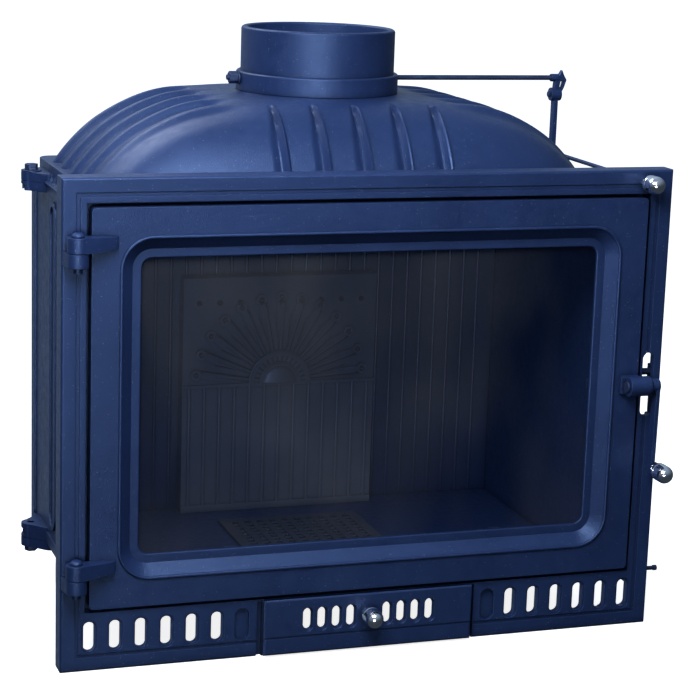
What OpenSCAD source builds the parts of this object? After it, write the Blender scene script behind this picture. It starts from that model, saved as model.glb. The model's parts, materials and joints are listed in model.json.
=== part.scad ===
// A cast-iron fireplace insert: a front plate with a hinged glazed door, a firebox of bolted
// castings under a vaulted hood, a flue collar with a damper and its pull rod, an ash drawer
// and an air shutter. Millimetres: X to the right, Y to the back, Z up. The middle of the
// front plate's bottom edge is the origin, and the whole thing stands on Z = 0.

/* [Front plate] */
// Width of the front plate
plate_w = 700; // [680:5:740]
// Height of the front plate
plate_h = 540; // [530:5:570]
// Thickness of the plate's face
plate_t = 8; // [6:1:9]
// Depth of the rim round the plate
rim_depth = 26; // [24:1:30]
// Thickness of that rim
rim_t = 5; // [4:0.5:6]
// Chamfer along the plate's front edges
plate_chamfer = 2; // [1:0.5:3]
// Distance from the plate's edge to the middle of its groove
groove_inset = 18; // [15:1:20]
// Width of the groove
groove_w = 4; // [2:0.5:5]
// Depth of the groove
groove_d = 1.5; // [1:0.5:2.5]

/* [Door opening] */
// Plate left beside and above the door opening
opening_margin = 27; // [25:1:30]
// Height of the band below the door
band_h = 67; // [65:1:72]
// Width of the ledge that the door's seal presses on
ledge_w = 24; // [22:1:28]
// Thickness of that ledge
ledge_t = 6; // [5:1:8]
// Thickness of the wall round the door's recess
recess_wall = 8; // [6:1:9]

/* [Air slots] */
// Slots on each side of the drawer, the innermost one blind
slot_count = 7; // [5:1:7]
// Width of a slot
slot_w = 12; // [8:0.5:13]
// Height of a slot
slot_h = 33; // [26:1:34]
// Height of the slots' middle above the floor
slot_z = 39.3; // [38.5:0.1:40.5]
// Distance between neighbouring slots
slot_pitch = 28.6; // [27:0.2:29]
// Distance from the plate's edge to the outermost slot
slot_edge = 32; // [31:1:35]
// Width of the shallow step round each slot
slot_step = 2; // [1:0.5:2.5]

/* [Door] */
// Gap round the door
door_gap = 4; // [3:0.5:5]
// How far the door's face stands in front of the plate
door_proud = 4; // [2:0.5:6]
// Thickness of the door's border
door_t = 9; // [8:1:11]
// Corner radius of the door's outline
door_r = 5; // [3:1:8]
// From the door's edge to the bead round the window
border_w = 32; // [30:1:36]
// Corner radius of that bead
bead_r = 35; // [32:1:42]
// Width of the slope and lip from the bead to the visible glass
slope_w = 24; // [22:1:28]
// How far the glass lip lies behind the door's face
lip_set = 10.5; // [9:0.5:12]
// Thickness of the lip
lip_t = 4; // [3:0.5:5]
// Diameter of the door's rope seal
rope_d = 12; // [10:0.5:13]

/* [Glass] */
// Thickness of the glass
glass_t = 4; // [3:0.5:5]
// How far the glass reaches behind the lip
glass_lap = 10; // [8:0.5:10.5]
// Thickness of the gasket tape under the glass
tape_t = 1.2; // [0.8:0.1:2]

/* [Hinges and latch] */
// Diameter of the hinge pins
hinge_pin_d = 10; // [8:0.5:11]
// Diameter of the hinge knuckles
knuckle_d = 23; // [20:1:24]
// Distance of the hinge axis from the plate's left edge
hinge_edge = 14.5; // [14:0.5:16]
// How far the hinge axis stands in front of the plate
hinge_out = 14; // [13.5:0.5:16]
// How far below the plate's top edge the upper pair of knuckles meets
hinge_drop = 76; // [70:1:100]
// How far above the band the lower pair of knuckles meets
hinge_lift = 44; // [41:1:63]
// How far the hinge straps reach over the door
strap_reach = 44.5; // [40:0.5:60]
// Height of the latch shaft
latch_z = 294; // [270:1:320]
// How far the latch shaft stands in front of the plate
latch_out = 18; // [17:0.5:20]
// Diameter of the latch shaft
latch_shaft_d = 10; // [8:0.5:11]
// Length of the latch lever, shaft to knob
lever_len = 98; // [80:1:120]
// Diameter of the polished knobs
knob_d = 20.5; // [18:0.5:23]
// Length of the polished knobs
knob_len = 33; // [28:1:36]

/* [Firebox] */
// How far the firebox walls lie inside the door opening's edge
wall_inset = 26; // [25:1:28]
// Thickness of the walls, with their raised flutes
wall_t = 11; // [9:1:12]
// Depth from the plate's face to the firebox's back face
body_depth = 390; // [370:5:420]
// Height of the fire floor
floor_z = 60; // [59:0.5:62]
// Thickness of the fire floor
floor_t = 5; // [4:0.5:6]
// How far the walls' top lies below the plate's top
wall_drop = 50; // [46:1:56]
// How far the bolting ears stand out from the walls
ear_out = 24.5; // [22:0.5:28]
// Height of the hood's flange
hood_flange_t = 21; // [16:1:24]
// Distance between the raised flutes on the side walls
flute_pitch = 51; // [46:1:56]
// Width of each raised flute
flute_w = 36; // [28:1:40]

/* [Fireback panel] */
// Width of the ornamented panel on the back wall
panel_w = 252; // [220:2:280]
// Height of the panel's top edge above the floor
panel_top = 361; // [345:1:375]
// How far the panel's face stands in front of the back wall
panel_out = 23; // [20:1:28]
// Height of the fan's base line above the floor
fan_z = 225; // [215:1:232]
// Distance from the fan's middle to the rings on its ray tips
fan_r = 110; // [96:1:112]
// Number of rays in the fan
fan_rays = 13; // [9:2:15]

/* [Grate] */
// Width of the grate
grate_w = 180; // [150:5:190]
// Depth of the grate
grate_d = 130; // [110:5:140]
// Thickness of the grate
grate_t = 6; // [5:0.5:8]
// Distance from the plate's face to the middle of the grate
grate_y = 246; // [236:1:256]

/* [Hood] */
// Height of the hood above the walls
hood_rise = 115; // [100:1:125]
// Depth of the scallops along the hood's sides
scallop_d = 7; // [3:0.5:8]
// Distance between the sharp ridges of the scallops
ridge_pitch = 64.5; // [58:0.5:66]
// Distance from the plate's face to the first ridge
ridge_first = 107; // [100:1:112]
// Distance between the ribs down the hood's front
rib_pitch = 47; // [42:1:50]
// Width of each of those ribs
rib_w = 9; // [6:0.5:11]

/* [Flue collar and damper] */
// Outside diameter of the collar, over which the flue pipe slides
collar_d = 180; // [176:1:184]
// Wall of the collar
collar_wall = 8; // [6:0.5:9]
// Height of the collar above the hood
collar_h = 73; // [70:1:85]
// Height of the wider ring at the collar's foot
collar_foot_h = 22; // [20:1:24]
// Distance from the plate's face to the collar's axis
collar_y = 240; // [232:1:248]
// Height of the damper shaft above the hood's top
shaft_rise = 15; // [14:0.5:16]
// Diameter of the damper shaft
shaft_d = 6; // [5:0.5:8]
// Angle that the damper opens to
damper_open = 30; // [20:1:32]
// Thickness of the damper disc
disc_t = 4; // [3:0.5:5]
// Diameter of the pull rod
rod_d = 5; // [4:0.5:6]
// Distance of the pull rod from the plate's right edge
rod_edge = 33.5; // [33:0.5:35]
// Height of the pull rod below the plate's top edge
rod_drop = 14.3; // [13:0.1:15]

/* [Ash drawer and air shutter] */
// Width of the drawer's front
drawer_w = 252; // [230:2:254]
// Height of the drawer's front
drawer_h = 71; // [69:0.5:72]
// How far the drawer's front stands in front of the plate
drawer_out = 9; // [8:0.5:12]
// Thickness of the drawer's front
drawer_t = 6.5; // [5:0.5:7]
// Depth of the ash pan, front to back
pan_d = 165; // [140:5:170]
// Height of the ash pan
pan_h = 33; // [28:1:34]
// How far the drawer pulls out
drawer_travel = 250; // [200:5:260]
// Distance between the slots in the drawer's front
drawer_slot_pitch = 17; // [16:0.2:18]
// How far the shutter rod sticks out past the plate's edge
shutter_out = 26; // [20:1:30]

/* [Hidden] */

$fn = 48;
iron = "#3b4a6b";
steel = "#c9ccd2";
dark_steel = "#2a2f3d";
glass_tint = "#1b2233";
rope_grey = "#55575c";

// Clearances
run_gap = 0.05;      // radial gap of a shaft that turns or slides in its bore
still_gap = 0.15;    // radial gap of a pin that stays put in its hole
seat_gap = 0.3;      // gap between pieces that only rest near each other
over = 1;            // how far a cut runs past the face it opens

// Front plate and door opening
half_w = plate_w / 2;
open_x = half_w - opening_margin;
open_z0 = band_h;
open_z1 = plate_h - opening_margin;
door_face = -door_proud;
door_back = door_face + door_t;
recess_depth = door_back + rope_d + 2 * seat_gap;
ledge_back = recess_depth + ledge_t;
slot_x0 = half_w - slot_edge;
slot_recess = 1.5;
rim_in = half_w - rim_t;

// Door
door_x = open_x - door_gap;
door_z0 = open_z0 + door_gap;
door_z1 = open_z1 - door_gap;
bead_x = door_x - border_w;
bead_z0 = door_z0 + border_w;
bead_z1 = door_z1 - border_w;
sight_x = bead_x - slope_w;
sight_z0 = bead_z0 + slope_w;
sight_z1 = bead_z1 - slope_w;
lip_back = door_face + lip_set + lip_t;
glass_y = lip_back + tape_t;
glass_back = glass_y + glass_t;
bead_d = 4;
edge_rib_w = 8;
edge_rib_y = door_back + 8;
rope_inset = edge_rib_w + seat_gap + rope_d / 2;
rope_y = door_back + seat_gap + rope_d / 2;
rope_corner_r = 20;
seal_in = edge_rib_w + rope_d + 2 * seat_gap;
seal_rib_w = 3;
seal_rib_h = 4;
clip_inset = 4;
clip_t = 2;
clip_w = 14;
clip_screw_d = 5;
clip_x = bead_x - clip_inset;
clip_spread = 0.55 * bead_x;
clip_sites = [
    [clip_x, (bead_z0 + bead_z1) / 2, 0], [-clip_x, (bead_z0 + bead_z1) / 2, 180],
    [clip_spread, bead_z1 - clip_inset, -90], [-clip_spread, bead_z1 - clip_inset, -90],
    [clip_spread, bead_z0 + clip_inset, 90], [-clip_spread, bead_z0 + clip_inset, 90]
];

// Hinges
hinge_x = -half_w + hinge_edge;
hinge_y = -hinge_out;
knuckle_h = 16.5;
pin_head_r = hinge_pin_d / 2 + 2;
hinge_meets = [plate_h - hinge_drop, band_h + hinge_lift];
strap_h0 = 17;
strap_h1 = 14;
strap_end = hinge_x + strap_reach;
strap_screw_d = 5;
strap_head_d = strap_screw_d + 4;
strap_zs = [for (z = hinge_meets) z + knuckle_h / 2];
seal_x = door_x - rope_inset;
screw_head_t = 2.4;
screw_bite = 3.8;

// Latch
latch_slot_w = 13.5;
latch_slot_x = half_w - 16.8;
latch_slot_up = 34;
latch_slot_down = 40;
latch_y = -latch_out;
barrel_r = 11.5;
barrel_x0 = door_x - 19;
hub_x0 = latch_slot_x - 4.3;
barrel_x1 = hub_x0 - seat_gap;
hub_w = 5.2;
hub_r = 8;
hook_w = 4;
lever_x0 = hub_x0 + hook_w + 0.1;
lever_w = hub_w;
striker_d = 8;
striker_y = recess_depth - 0.5;
striker_z = latch_z + 8.5;
hook_tooth = 5;
hook_y1 = striker_y + striker_d / 2 + seat_gap + hook_tooth;
knob_neck = 4;
knob_stud_d = 6;
lever_bar = 9;
knob_x = lever_x0 + lever_w - 0.4;
bracket_screw_zs = [latch_z - 6.5, latch_z + 6.5];
door_screws = concat(
    [for (z = strap_zs) [-seal_x, z]],
    [for (z = bracket_screw_zs) [seal_x, z]]
);

// Firebox
wall_x = open_x - wall_inset;
wall_out = wall_x + wall_t;
flute_rise = 3;
flute_back = 121;
ear_r = 12;
ear_x = wall_out + ear_out - ear_r;
ear_flare = 22;
flange_x = wall_out - 6;
wall_z1 = plate_h - wall_drop;
back_t = 10;
back_y = body_depth - back_t;
wall_foot_z = floor_z - 7.5;
base_flange_h = 11;
base_flange_z = wall_foot_z - base_flange_h;
foot_ear_h = 18;
top_ear_h = 11;
hood_ear_h = 11;
base_flange_y0 = 90;
flange_y0 = 48;
ear_ys = [body_depth - 60, 110];
bolt_d = 8;
nut_h = 6.5;
nut_flats = 14;
nut_roof = 4;
washer_d = 24;
head_h = 7;
washer_t = 1.5;
baffle_z = wall_z1 - 40;
baffle_t = 8;
baffle_y0 = 140;
shelf_ys = [170, back_y - 40];
plate_bolt_x = (wall_out + open_x + recess_wall) / 2;
plate_bolt_zs = [140, 285, wall_z1 - 50];
front_flange_t = 8;
back_bolt_zs = [110, 270, wall_z1 - 60];
back_bolt_d = 5;
back_bolt_x = wall_out - 5.5;
foot_x = 170;
foot_y = body_depth - 28;
foot_r = 17;
foot_stud_d = 12;
foot_stud_h = 12;
grate_seat = 3;
grate_slot_w = 8;
grate_slot_pitch = 16;

// Fireback panel
panel_y = back_y - panel_out;
panel_t = 8;
groove_pitch = 19.5;
panel_bead = 4;
fan_raise = 3;
fan_boss_r = 24;
fan_ring_r = 39;
tip_ring_d = 13.5;
air_hole_d = 7;
air_hole_z = panel_top - 32;
air_hole_pitch = 26.5;
bar_d = 5;
half_bars = floor((wall_x - 12) / groove_pitch);
panel_bars = floor((panel_w / 2 - 6) / groove_pitch);
panel_bolt_zs = [100, panel_top - 20];
panel_bolt_x = panel_w / 2 - 14;
panel_bolt_d = 6;

// Hood: a flattened dome whose front, back and sides follow one power law
hood_top = wall_z1 + hood_rise;
hood_foot = wall_z1 - 10;
hood_a = wall_out + 3;
hood_y0 = ledge_back + 2;
hood_y1 = body_depth - 3;
hood_flat_y0 = 150;
hood_flat_y1 = body_depth - 72;
hood_nx = 3.94;
hood_ny = 2.6;
hood_m = 1.31;
hood_shell = 16;
hood_corner_r = 16;
ridge_count = 4;
ridge_last = ridge_first + ridge_count * ridge_pitch;
scallop_x0 = 112;
scallop_x1 = 190;
hood_cols = 36;
rib_rise = 6;
rib_steps = 10;
rib_back = 95;
hood_rows = concat(
    [for (i = [0 : 7]) hood_y0 + (ridge_first - hood_y0) * i / 8],
    [for (i = [0 : ridge_count - 1], f = [0, 0.18, 0.45, 0.7, 0.86])
        ridge_first + (i + f) * ridge_pitch],
    [for (i = [0 : 2]) ridge_last + (hood_y1 - ridge_last) * i / 2]
);
inner_rows = [for (i = [0 : 14])
    hood_y0 + hood_shell - 5 + (hood_y1 - hood_y0 - 2 * hood_shell + 10) * i / 14];

// Collar and damper
collar_r = collar_d / 2;
collar_in = collar_r - collar_wall;
collar_foot_r = collar_r + 5;
pad_r = collar_foot_r + 2;
collar_z0 = hood_top + 0.2;
collar_z1 = collar_z0 + collar_h;
flue_hole_r = collar_in + 2.4;
register_h = 9;
collar_bolt_r = collar_in + 8;
collar_bolt_d = 5;
shaft_z = hood_top + shaft_rise;
disc_r = collar_in - 3;
shaft_x0 = -collar_foot_r - 15;
rod_x = half_w - rod_edge;
rod_z = plate_h - rod_drop;
arm_len = shaft_z - rod_z;
pull_travel = arm_len * tan(damper_open);
arm_t = 5.5;
arm_w = 10;
arm_x0 = rod_x - 10.5 - arm_t / 2;
link_pin_d = 5;
half_open = damper_open / 2;
arm_side_slip = arm_len * (tan(damper_open) / 2 * cos(half_open) - sin(half_open));
arm_slot = link_pin_d + 2 * arm_side_slip + 0.8;
arm_slot_low = arm_len * (1 / cos(damper_open) - 1) + link_pin_d / 2 + 1;
arm_end = 4;
crank_x = arm_x0 + arm_t / 2;
clamp_drop = 20;
clamp_d = 16;
clamp_screw_d = 4;
disc_hub_r = shaft_d / 2 + 3.5;
disc_screw_d = 4;
damper_screw_xs = [-40, 40];
link_stud_d = 2.5;
rod_tail = 8;

// Drawer and shutter
drawer_x = drawer_w / 2;
drawer_open_x = drawer_x - 13;
drawer_open_z0 = rim_t + 2;
drawer_open_z1 = band_h - 9;
drawer_slot_w = 12;
drawer_slot_h = 28;
drawer_slot_z = 42;
drawer_knob_x = -2;
drawer_knob_z = 44.5;
drawer_slot_x0 = 21.4;
drawer_slots = 4;
drawer_groove_z = 22;
drawer_groove_w = 2;
drawer_back = -0.4;
drawer_clear = 3;
rail_t = 4;
rail_h = 12;
rail_z = floor_z - floor_t - 15;
rail_x = drawer_open_x - 4;
pan_y0 = 160;
pan_wall = 3;
pan_z1 = floor_z - floor_t - 1;
runner_t = 4;
runner_gap = 0.4;
runner_y0 = 30;
runner_y1 = back_y - 40;
shutter_t = 2;
shutter_y = plate_t + seat_gap;
shutter_travel = slot_pitch / 2;
shutter_x1 = slot_x0 + 14;
shutter_x0 = slot_x0 - (slot_count - 1) * slot_pitch - 15;
shutter_z0 = slot_z - slot_h / 2 - 4;
shutter_z1 = slot_z + slot_h / 2 + 1.5;
shutter_rod_y = rim_depth + 4;
shutter_rod_z = slot_z + slot_h / 2 + 1;
shutter_rod_d = 5;
lug_w = 6;
keeper_w = 14;
keeper_t = 2;
keeper_lap = 4;
keeper_xs = [shutter_x0 + 26, (shutter_x0 + shutter_x1) / 2 - 10, shutter_x1 - 32];

// Builds an upright slab between two depths from an outline drawn in X and Z
module slab(y0, y1) {
    translate([0, y1, 0]) rotate([90, 0, 0]) linear_extrude(y1 - y0) children();
}

// A round bar along X
module bar_x(x0, x1, y, z, d) {
    translate([x0, y, z]) rotate([0, 90, 0]) cylinder(h = x1 - x0, d = d);
}

// A round bar along Y
module bar_y(x, y0, y1, z, d) {
    translate([x, y0, z]) rotate([-90, 0, 0]) cylinder(h = y1 - y0, d = d);
}

// A round bar along Z
module bar_z(x, y, z0, z1, d) {
    translate([x, y, z0]) cylinder(h = z1 - z0, d = d);
}

// A hexagonal bolt head or nut along Z, with its width across flats
module hex_z(x, y, z0, h, flats) {
    translate([x, y, z0]) cylinder(h = h, d = flats / cos(30), $fn = 6);
}

// A box from its low corner to its high corner
module box(low, high) {
    translate(low) cube(high - low);
}

// Rectangle with round corners in X and Z
module round_rect(hx, z0, z1, r) {
    translate([-hx, z0 + r]) square([2 * hx, z1 - z0 - 2 * r]);
    translate([-hx + r, z0]) square([2 * (hx - r), z1 - z0]);
    for (x = [-hx + r, hx - r], z = [z0 + r, z1 - r]) translate([x, z]) circle(r);
}

// Upright slot with round ends
module round_slot(x, z, w, h) {
    translate([x - w / 2, z - (h - w) / 2]) square([w, h - w]);
    for (s = [-1, 1]) translate([x, z + s * (h - w) / 2]) circle(d = w);
}

// Carries a section (outward, depth) round a rectangle with round corners in X and Z
module swept_rect(hx, z0, z1, r) {
    for (s = [0, 1]) mirror([s, 0, 0]) {
        translate([hx, 0, z0 + r]) linear_extrude(z1 - z0 - 2 * r) children();
        translate([hx - r, 0, z0 + r]) rotate([-90, 0, 0])
            rotate_extrude(angle = 90) translate([r, 0]) children();
        translate([hx - r, 0, z1 - r]) rotate([-90, 0, 0]) rotate([0, 0, -90])
            rotate_extrude(angle = 90) translate([r, 0]) children();
    }
    translate([hx - r, 0, z1]) rotate([0, -90, 0]) linear_extrude(2 * (hx - r)) children();
    translate([-hx + r, 0, z0]) rotate([0, 90, 0]) linear_extrude(2 * (hx - r)) children();
}

// Block with its four front edges chamfered
module chamfered_block(hx, z0, z1, y0, y1, c) {
    intersection() {
        translate([0, 0, z0]) linear_extrude(z1 - z0) polygon([
            [-hx + c, y0], [hx - c, y0], [hx, y0 + c], [hx, y1], [-hx, y1], [-hx, y0 + c]
        ]);
        translate([-hx, 0, 0]) rotate([90, 0, 90]) linear_extrude(2 * hx) polygon([
            [y0, z0 + c], [y0 + c, z0], [y1, z0], [y1, z1], [y0 + c, z1], [y0, z1 - c]
        ]);
    }
}

// Front plate

module frame_lug(z1) {
    z0 = z1 - knuckle_h + 1;
    bar_z(hinge_x, hinge_y, z0, z1 - seat_gap, knuckle_d);
    translate([0, 0, z0]) linear_extrude(z1 - seat_gap - z0) polygon([
        [-half_w + 1, over], [-half_w + 1, -over], [hinge_x - knuckle_d / 2 + 0.6, hinge_y - 3.5],
        [hinge_x, hinge_y], [hinge_x + knuckle_d / 2 - 0.5, hinge_y + 3],
        [hinge_x + knuckle_d / 2 - 3, over]
    ]);
}

module side_slots(count, w, h, y1) {
    for (s = [-1, 1], i = [0 : count - 1])
        slab(-over, y1) round_slot(s * (slot_x0 - i * slot_pitch), slot_z, w, h);
}

module groove_outline(grow) {
    e = half_w - groove_inset + grow;
    translate([-e, groove_inset - grow]) square([2 * e, plate_h - 2 * groove_inset + 2 * grow]);
}

module front_plate() color(iron) difference() {
    union() {
        difference() {
            chamfered_block(half_w, 0, plate_h, 0, rim_depth, plate_chamfer);
            box([-rim_in, plate_t, rim_t], [rim_in, rim_depth + over, plate_h - rim_t]);
        }
        box([-open_x - recess_wall, plate_t - over, open_z0 - recess_wall],
            [open_x + recess_wall, ledge_back, open_z1 + recess_wall]);
        for (z = hinge_meets) frame_lug(z);
        bar_y(rod_x, plate_t - over, rim_depth - 4, rod_z, rod_d + 9);
        box([rim_in - 5, rim_depth - 6, shutter_rod_z - 7],
            [half_w - 0.5, shutter_rod_y + 6, shutter_rod_z + 7]);
    }
    box([-open_x, -over, open_z0], [open_x, recess_depth, open_z1]);
    box([-open_x + ledge_w, 0, open_z0 + ledge_w],
        [open_x - ledge_w, ledge_back + over, open_z1 - ledge_w]);
    slab(-over, groove_d) difference() {
        groove_outline(groove_w / 2);
        groove_outline(-groove_w / 2);
    }
    side_slots(slot_count, slot_w + 2 * slot_step, slot_h + 2 * slot_step, slot_recess);
    side_slots(slot_count - 1, slot_w, slot_h, plate_t + over);
    box([-drawer_open_x, -over, drawer_open_z0], [drawer_open_x, plate_t + over, drawer_open_z1]);
    slab(-over, ledge_back + over) round_slot(latch_slot_x,
        latch_z + (latch_slot_up - latch_slot_down) / 2, latch_slot_w,
        latch_slot_up + latch_slot_down);
    for (z = [latch_z - 42, striker_z + striker_d])
        box([rim_in - over, plate_t, z],
            [half_w - 2, rim_depth + over, z + (z < latch_z ? 42 : 30)]);
    bar_x(open_x + 1, half_w - 2, striker_y, striker_z, striker_d + 2 * still_gap);
    bar_y(rod_x, -over, rim_depth, rod_z, rod_d + 2 * run_gap);
    bar_x(rim_in - 10, half_w + over, shutter_rod_y, shutter_rod_z, shutter_rod_d + 2 * run_gap);
    for (z = hinge_meets)
        bar_z(hinge_x, hinge_y, z - knuckle_h - over, z, hinge_pin_d + 2 * still_gap);
    for (s = [-1, 1], z = plate_bolt_zs)
        bar_y(s * plate_bolt_x, recess_depth + 1, ledge_back + over, z, bolt_d + 2 * still_gap);
}

// Firebox castings

module base_plate() color(iron) difference() {
    union() {
        box([-wall_x + seat_gap, ledge_back, floor_z - floor_t],
            [wall_x - seat_gap, back_y - seat_gap, floor_z]);
        for (s = [0, 1]) mirror([s, 0, 0]) {
            box([wall_x - 9, base_flange_y0, base_flange_z],
                [flange_x, body_depth, wall_foot_z]);
            box([wall_x - 9, base_flange_y0, wall_foot_z - over],
                [wall_x - seat_gap, back_y - seat_gap, floor_z - over]);
            for (y = ear_ys) ear(y, base_flange_z, wall_foot_z);
        }
        box([-wall_x, back_y - 9, base_flange_z], [wall_x, body_depth, wall_foot_z]);
        box([-wall_x + 9, back_y - 9, wall_foot_z - over],
            [wall_x - 9, back_y - seat_gap, floor_z - over]);
        for (s = [-1, 1]) bar_z(s * foot_x, foot_y, base_flange_z, floor_z - over, 2 * foot_r);
    }
    box([-grate_w / 2 + 6, grate_y - grate_d / 2 + 6, base_flange_z - over],
        [grate_w / 2 - 6, grate_y + grate_d / 2 - 6, floor_z + over]);
    box([-grate_w / 2, grate_y - grate_d / 2, floor_z - grate_seat],
        [grate_w / 2, grate_y + grate_d / 2, floor_z + over]);
    for (s = [-1, 1], y = ear_ys)
        bar_z(s * ear_x, y, base_flange_z - over, wall_foot_z + over,
            bolt_d + 2 * still_gap);
    for (s = [-1, 1])
        bar_z(s * foot_x, foot_y, base_flange_z - over, base_flange_z + foot_stud_h + seat_gap,
            foot_stud_d + 2 * still_gap);
}

// Feet under the back edge of the base
module rear_feet() color(iron) for (s = [-1, 1]) translate([s * foot_x, foot_y, 0]) {
    cylinder(h = base_flange_z, r = foot_r);
    cylinder(h = base_flange_z + foot_stud_h, d = foot_stud_d);
}

// Bolting ear at depth y, with flanks that run out to the wall
module ear(y, z0, z1) {
    bar_z(ear_x, y, z0, z1, 2 * ear_r);
    translate([0, y, z0]) linear_extrude(z1 - z0) polygon([
        [wall_out - 9, -ear_r - ear_flare], [wall_out - 0.5, -ear_r - ear_flare + 4],
        [ear_x + 4, -ear_r + 0.8], [ear_x + 4, ear_r - 0.8],
        [wall_out - 0.5, ear_r + ear_flare - 4], [wall_out - 9, ear_r + ear_flare]
    ]);
}

// Slot, open to the outside, that holds an ear's nut
module nut_pocket(y, z0, z1) {
    box([ear_x - nut_flats / cos(30) / 2 - seat_gap, y - nut_flats / 2 - seat_gap, z0],
        [ear_x + ear_r + over, y + nut_flats / 2 + seat_gap, z1]);
}

// One side wall, drawn on the right
module side_wall() {
    difference() {
        union() {
            box([wall_x, ledge_back, wall_foot_z], [wall_out - flute_rise, body_depth, wall_z1]);
            box([wall_x, flange_y0, wall_foot_z],
                [wall_out, body_depth, wall_foot_z + foot_ear_h - 4]);
            box([wall_x, flange_y0, wall_z1 - top_ear_h], [wall_out, body_depth, wall_z1]);
            for (y = ear_ys) {
                ear(y, wall_foot_z, wall_foot_z + foot_ear_h);
                ear(y, wall_z1 - top_ear_h, wall_z1);
            }
            box([wall_x, ledge_back, floor_z + 15],
                [hub_x0 - 2, ledge_back + front_flange_t, wall_z1 - 14]);
            box([wall_x, body_depth - 12, wall_foot_z + over],
                [wall_out, body_depth, wall_z1 - over]);
            for (y = [body_depth - flute_back : -flute_pitch : flange_y0 + 6])
                translate([0, y, 0]) flute_pad();
            for (y = shelf_ys)
                box([wall_x - 14, y, baffle_z - 12], [wall_x + over, y + 24, baffle_z - seat_gap]);
        }
        for (y = ear_ys)
            bar_z(ear_x, y, wall_foot_z - over, wall_z1 + over, bolt_d + 2 * still_gap);
        for (y = ear_ys) {
            nut_pocket(y, wall_z1 - top_ear_h - over, wall_z1 - nut_roof);
            nut_pocket(y, wall_foot_z + nut_roof, wall_foot_z + nut_roof + nut_h + 0.6);
        }
        for (z = plate_bolt_zs)
            bar_y(plate_bolt_x, ledge_back - over, ledge_back + front_flange_t + over, z,
                bolt_d + 2 * still_gap);
        for (z = back_bolt_zs)
            bar_y(back_bolt_x, back_y, body_depth + over, z, back_bolt_d + 2 * still_gap);
    }
}

// Raised pad with a sunken middle on a side wall
module flute_pad() {
    zm = (wall_foot_z + foot_ear_h + wall_z1 - top_ear_h) / 2;
    h = wall_z1 - top_ear_h - wall_foot_z - foot_ear_h - 12;
    translate([wall_out - flute_rise - over, 0, 0]) rotate([90, 0, 90]) difference() {
        linear_extrude(flute_rise + over) round_slot(0, zm, flute_w, h);
        translate([0, 0, over]) linear_extrude(flute_rise + over)
            round_slot(0, zm, flute_w - 12, h - 12);
    }
}

module left_side_wall() color(iron) mirror([1, 0, 0]) side_wall();
module right_side_wall() color(iron) side_wall();

module back_wall() color(iron) difference() {
    union() {
        box([-wall_x + seat_gap, back_y, wall_foot_z], [wall_x - seat_gap, body_depth, wall_z1]);
        box([-wall_out, body_depth, wall_foot_z + over], [wall_out, body_depth + 6, wall_z1]);
        for (i = [-half_bars : half_bars])
            bar_z(i * groove_pitch, back_y + 0.6, floor_z + 1, wall_z1 - 12, bar_d);
    }
    for (s = [-1, 1], z = back_bolt_zs)
        bar_y(s * back_bolt_x, body_depth - over, body_depth + 7, z,
            back_bolt_d + 2 * still_gap);
    for (s = [-1, 1], z = panel_bolt_zs)
        bar_y(s * panel_bolt_x, back_y - 5, body_depth + 7, z, panel_bolt_d + 2 * still_gap);
}

// Fan of rays over a ringed boss
module fan() {
    slab(panel_y - fan_raise, panel_y + over) intersection() {
        union() {
            difference() {
                translate([0, fan_z]) circle(fan_ring_r);
                translate([0, fan_z]) circle(fan_ring_r - 5);
            }
            translate([0, fan_z]) circle(fan_boss_r);
        }
        translate([-fan_ring_r, fan_z]) square([2 * fan_ring_r, fan_ring_r]);
    }
    for (i = [0 : fan_rays - 1]) translate([0, 0, fan_z])
        rotate([0, -90 + (i + 0.5) * 180 / fan_rays, 0]) fan_ray();
}

// One ray of the fan, standing on the fan's base line
module fan_ray() {
    slab(panel_y - fan_raise + 0.8, panel_y + over) polygon([
        [-2, fan_ring_r - 2], [2, fan_ring_r - 2], [5, fan_r - 20], [3.4, fan_r - 6],
        [-3.4, fan_r - 6], [-5, fan_r - 20]
    ]);
    slab(panel_y - fan_raise - 0.5, panel_y + over) difference() {
        translate([0, fan_r]) circle(d = tip_ring_d);
        translate([0, fan_r]) circle(d = tip_ring_d - 7);
    }
}

module fireback_panel() color(iron) difference() {
    union() {
        box([-panel_w / 2, panel_y, floor_z], [panel_w / 2, panel_y + panel_t, panel_top]);
        for (s = [0, 1]) mirror([s, 0, 0])
            box([panel_w / 2 - 8, panel_y, floor_z], [panel_w / 2, back_y - 3, panel_top]);
        box([-panel_w / 2, panel_y, panel_top - 8], [panel_w / 2, back_y - 3, panel_top]);
        box([-panel_w / 2, panel_y - 2, floor_z], [panel_w / 2, panel_y + over, floor_z + 9]);
        box([-panel_w / 2, panel_y - 2, fan_z - panel_bead],
            [panel_w / 2, panel_y + over, fan_z]);
        for (s = [-1, 1], z = panel_bolt_zs)
            bar_y(s * panel_bolt_x, panel_y + over, back_y - 3, z, 16);
        for (i = [-panel_bars : panel_bars])
            bar_z(i * groove_pitch, panel_y + 0.6, floor_z + 8, fan_z - 2, bar_d);
        fan();
    }
    for (i = [-4 : 4])
        bar_y(i * air_hole_pitch, panel_y - 5, back_y, air_hole_z, air_hole_d);
    for (s = [-1, 1], z = panel_bolt_zs)
        bar_y(s * panel_bolt_x, panel_y + 8, back_y, z, panel_bolt_d + 2 * still_gap);
}

module grate() color(iron) difference() {
    box([-grate_w / 2 + seat_gap, grate_y - grate_d / 2 + seat_gap, floor_z - grate_seat],
        [grate_w / 2 - seat_gap, grate_y + grate_d / 2 - seat_gap,
         floor_z - grate_seat + grate_t]);
    for (x = [-grate_w / 2 + 18 : grate_slot_pitch : grate_w / 2 - 14])
        translate([x, grate_y, floor_z - grate_seat - over]) linear_extrude(grate_t + 2 * over)
            round_slot(0, 0, grate_slot_w, grate_d - 26);
}

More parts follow.
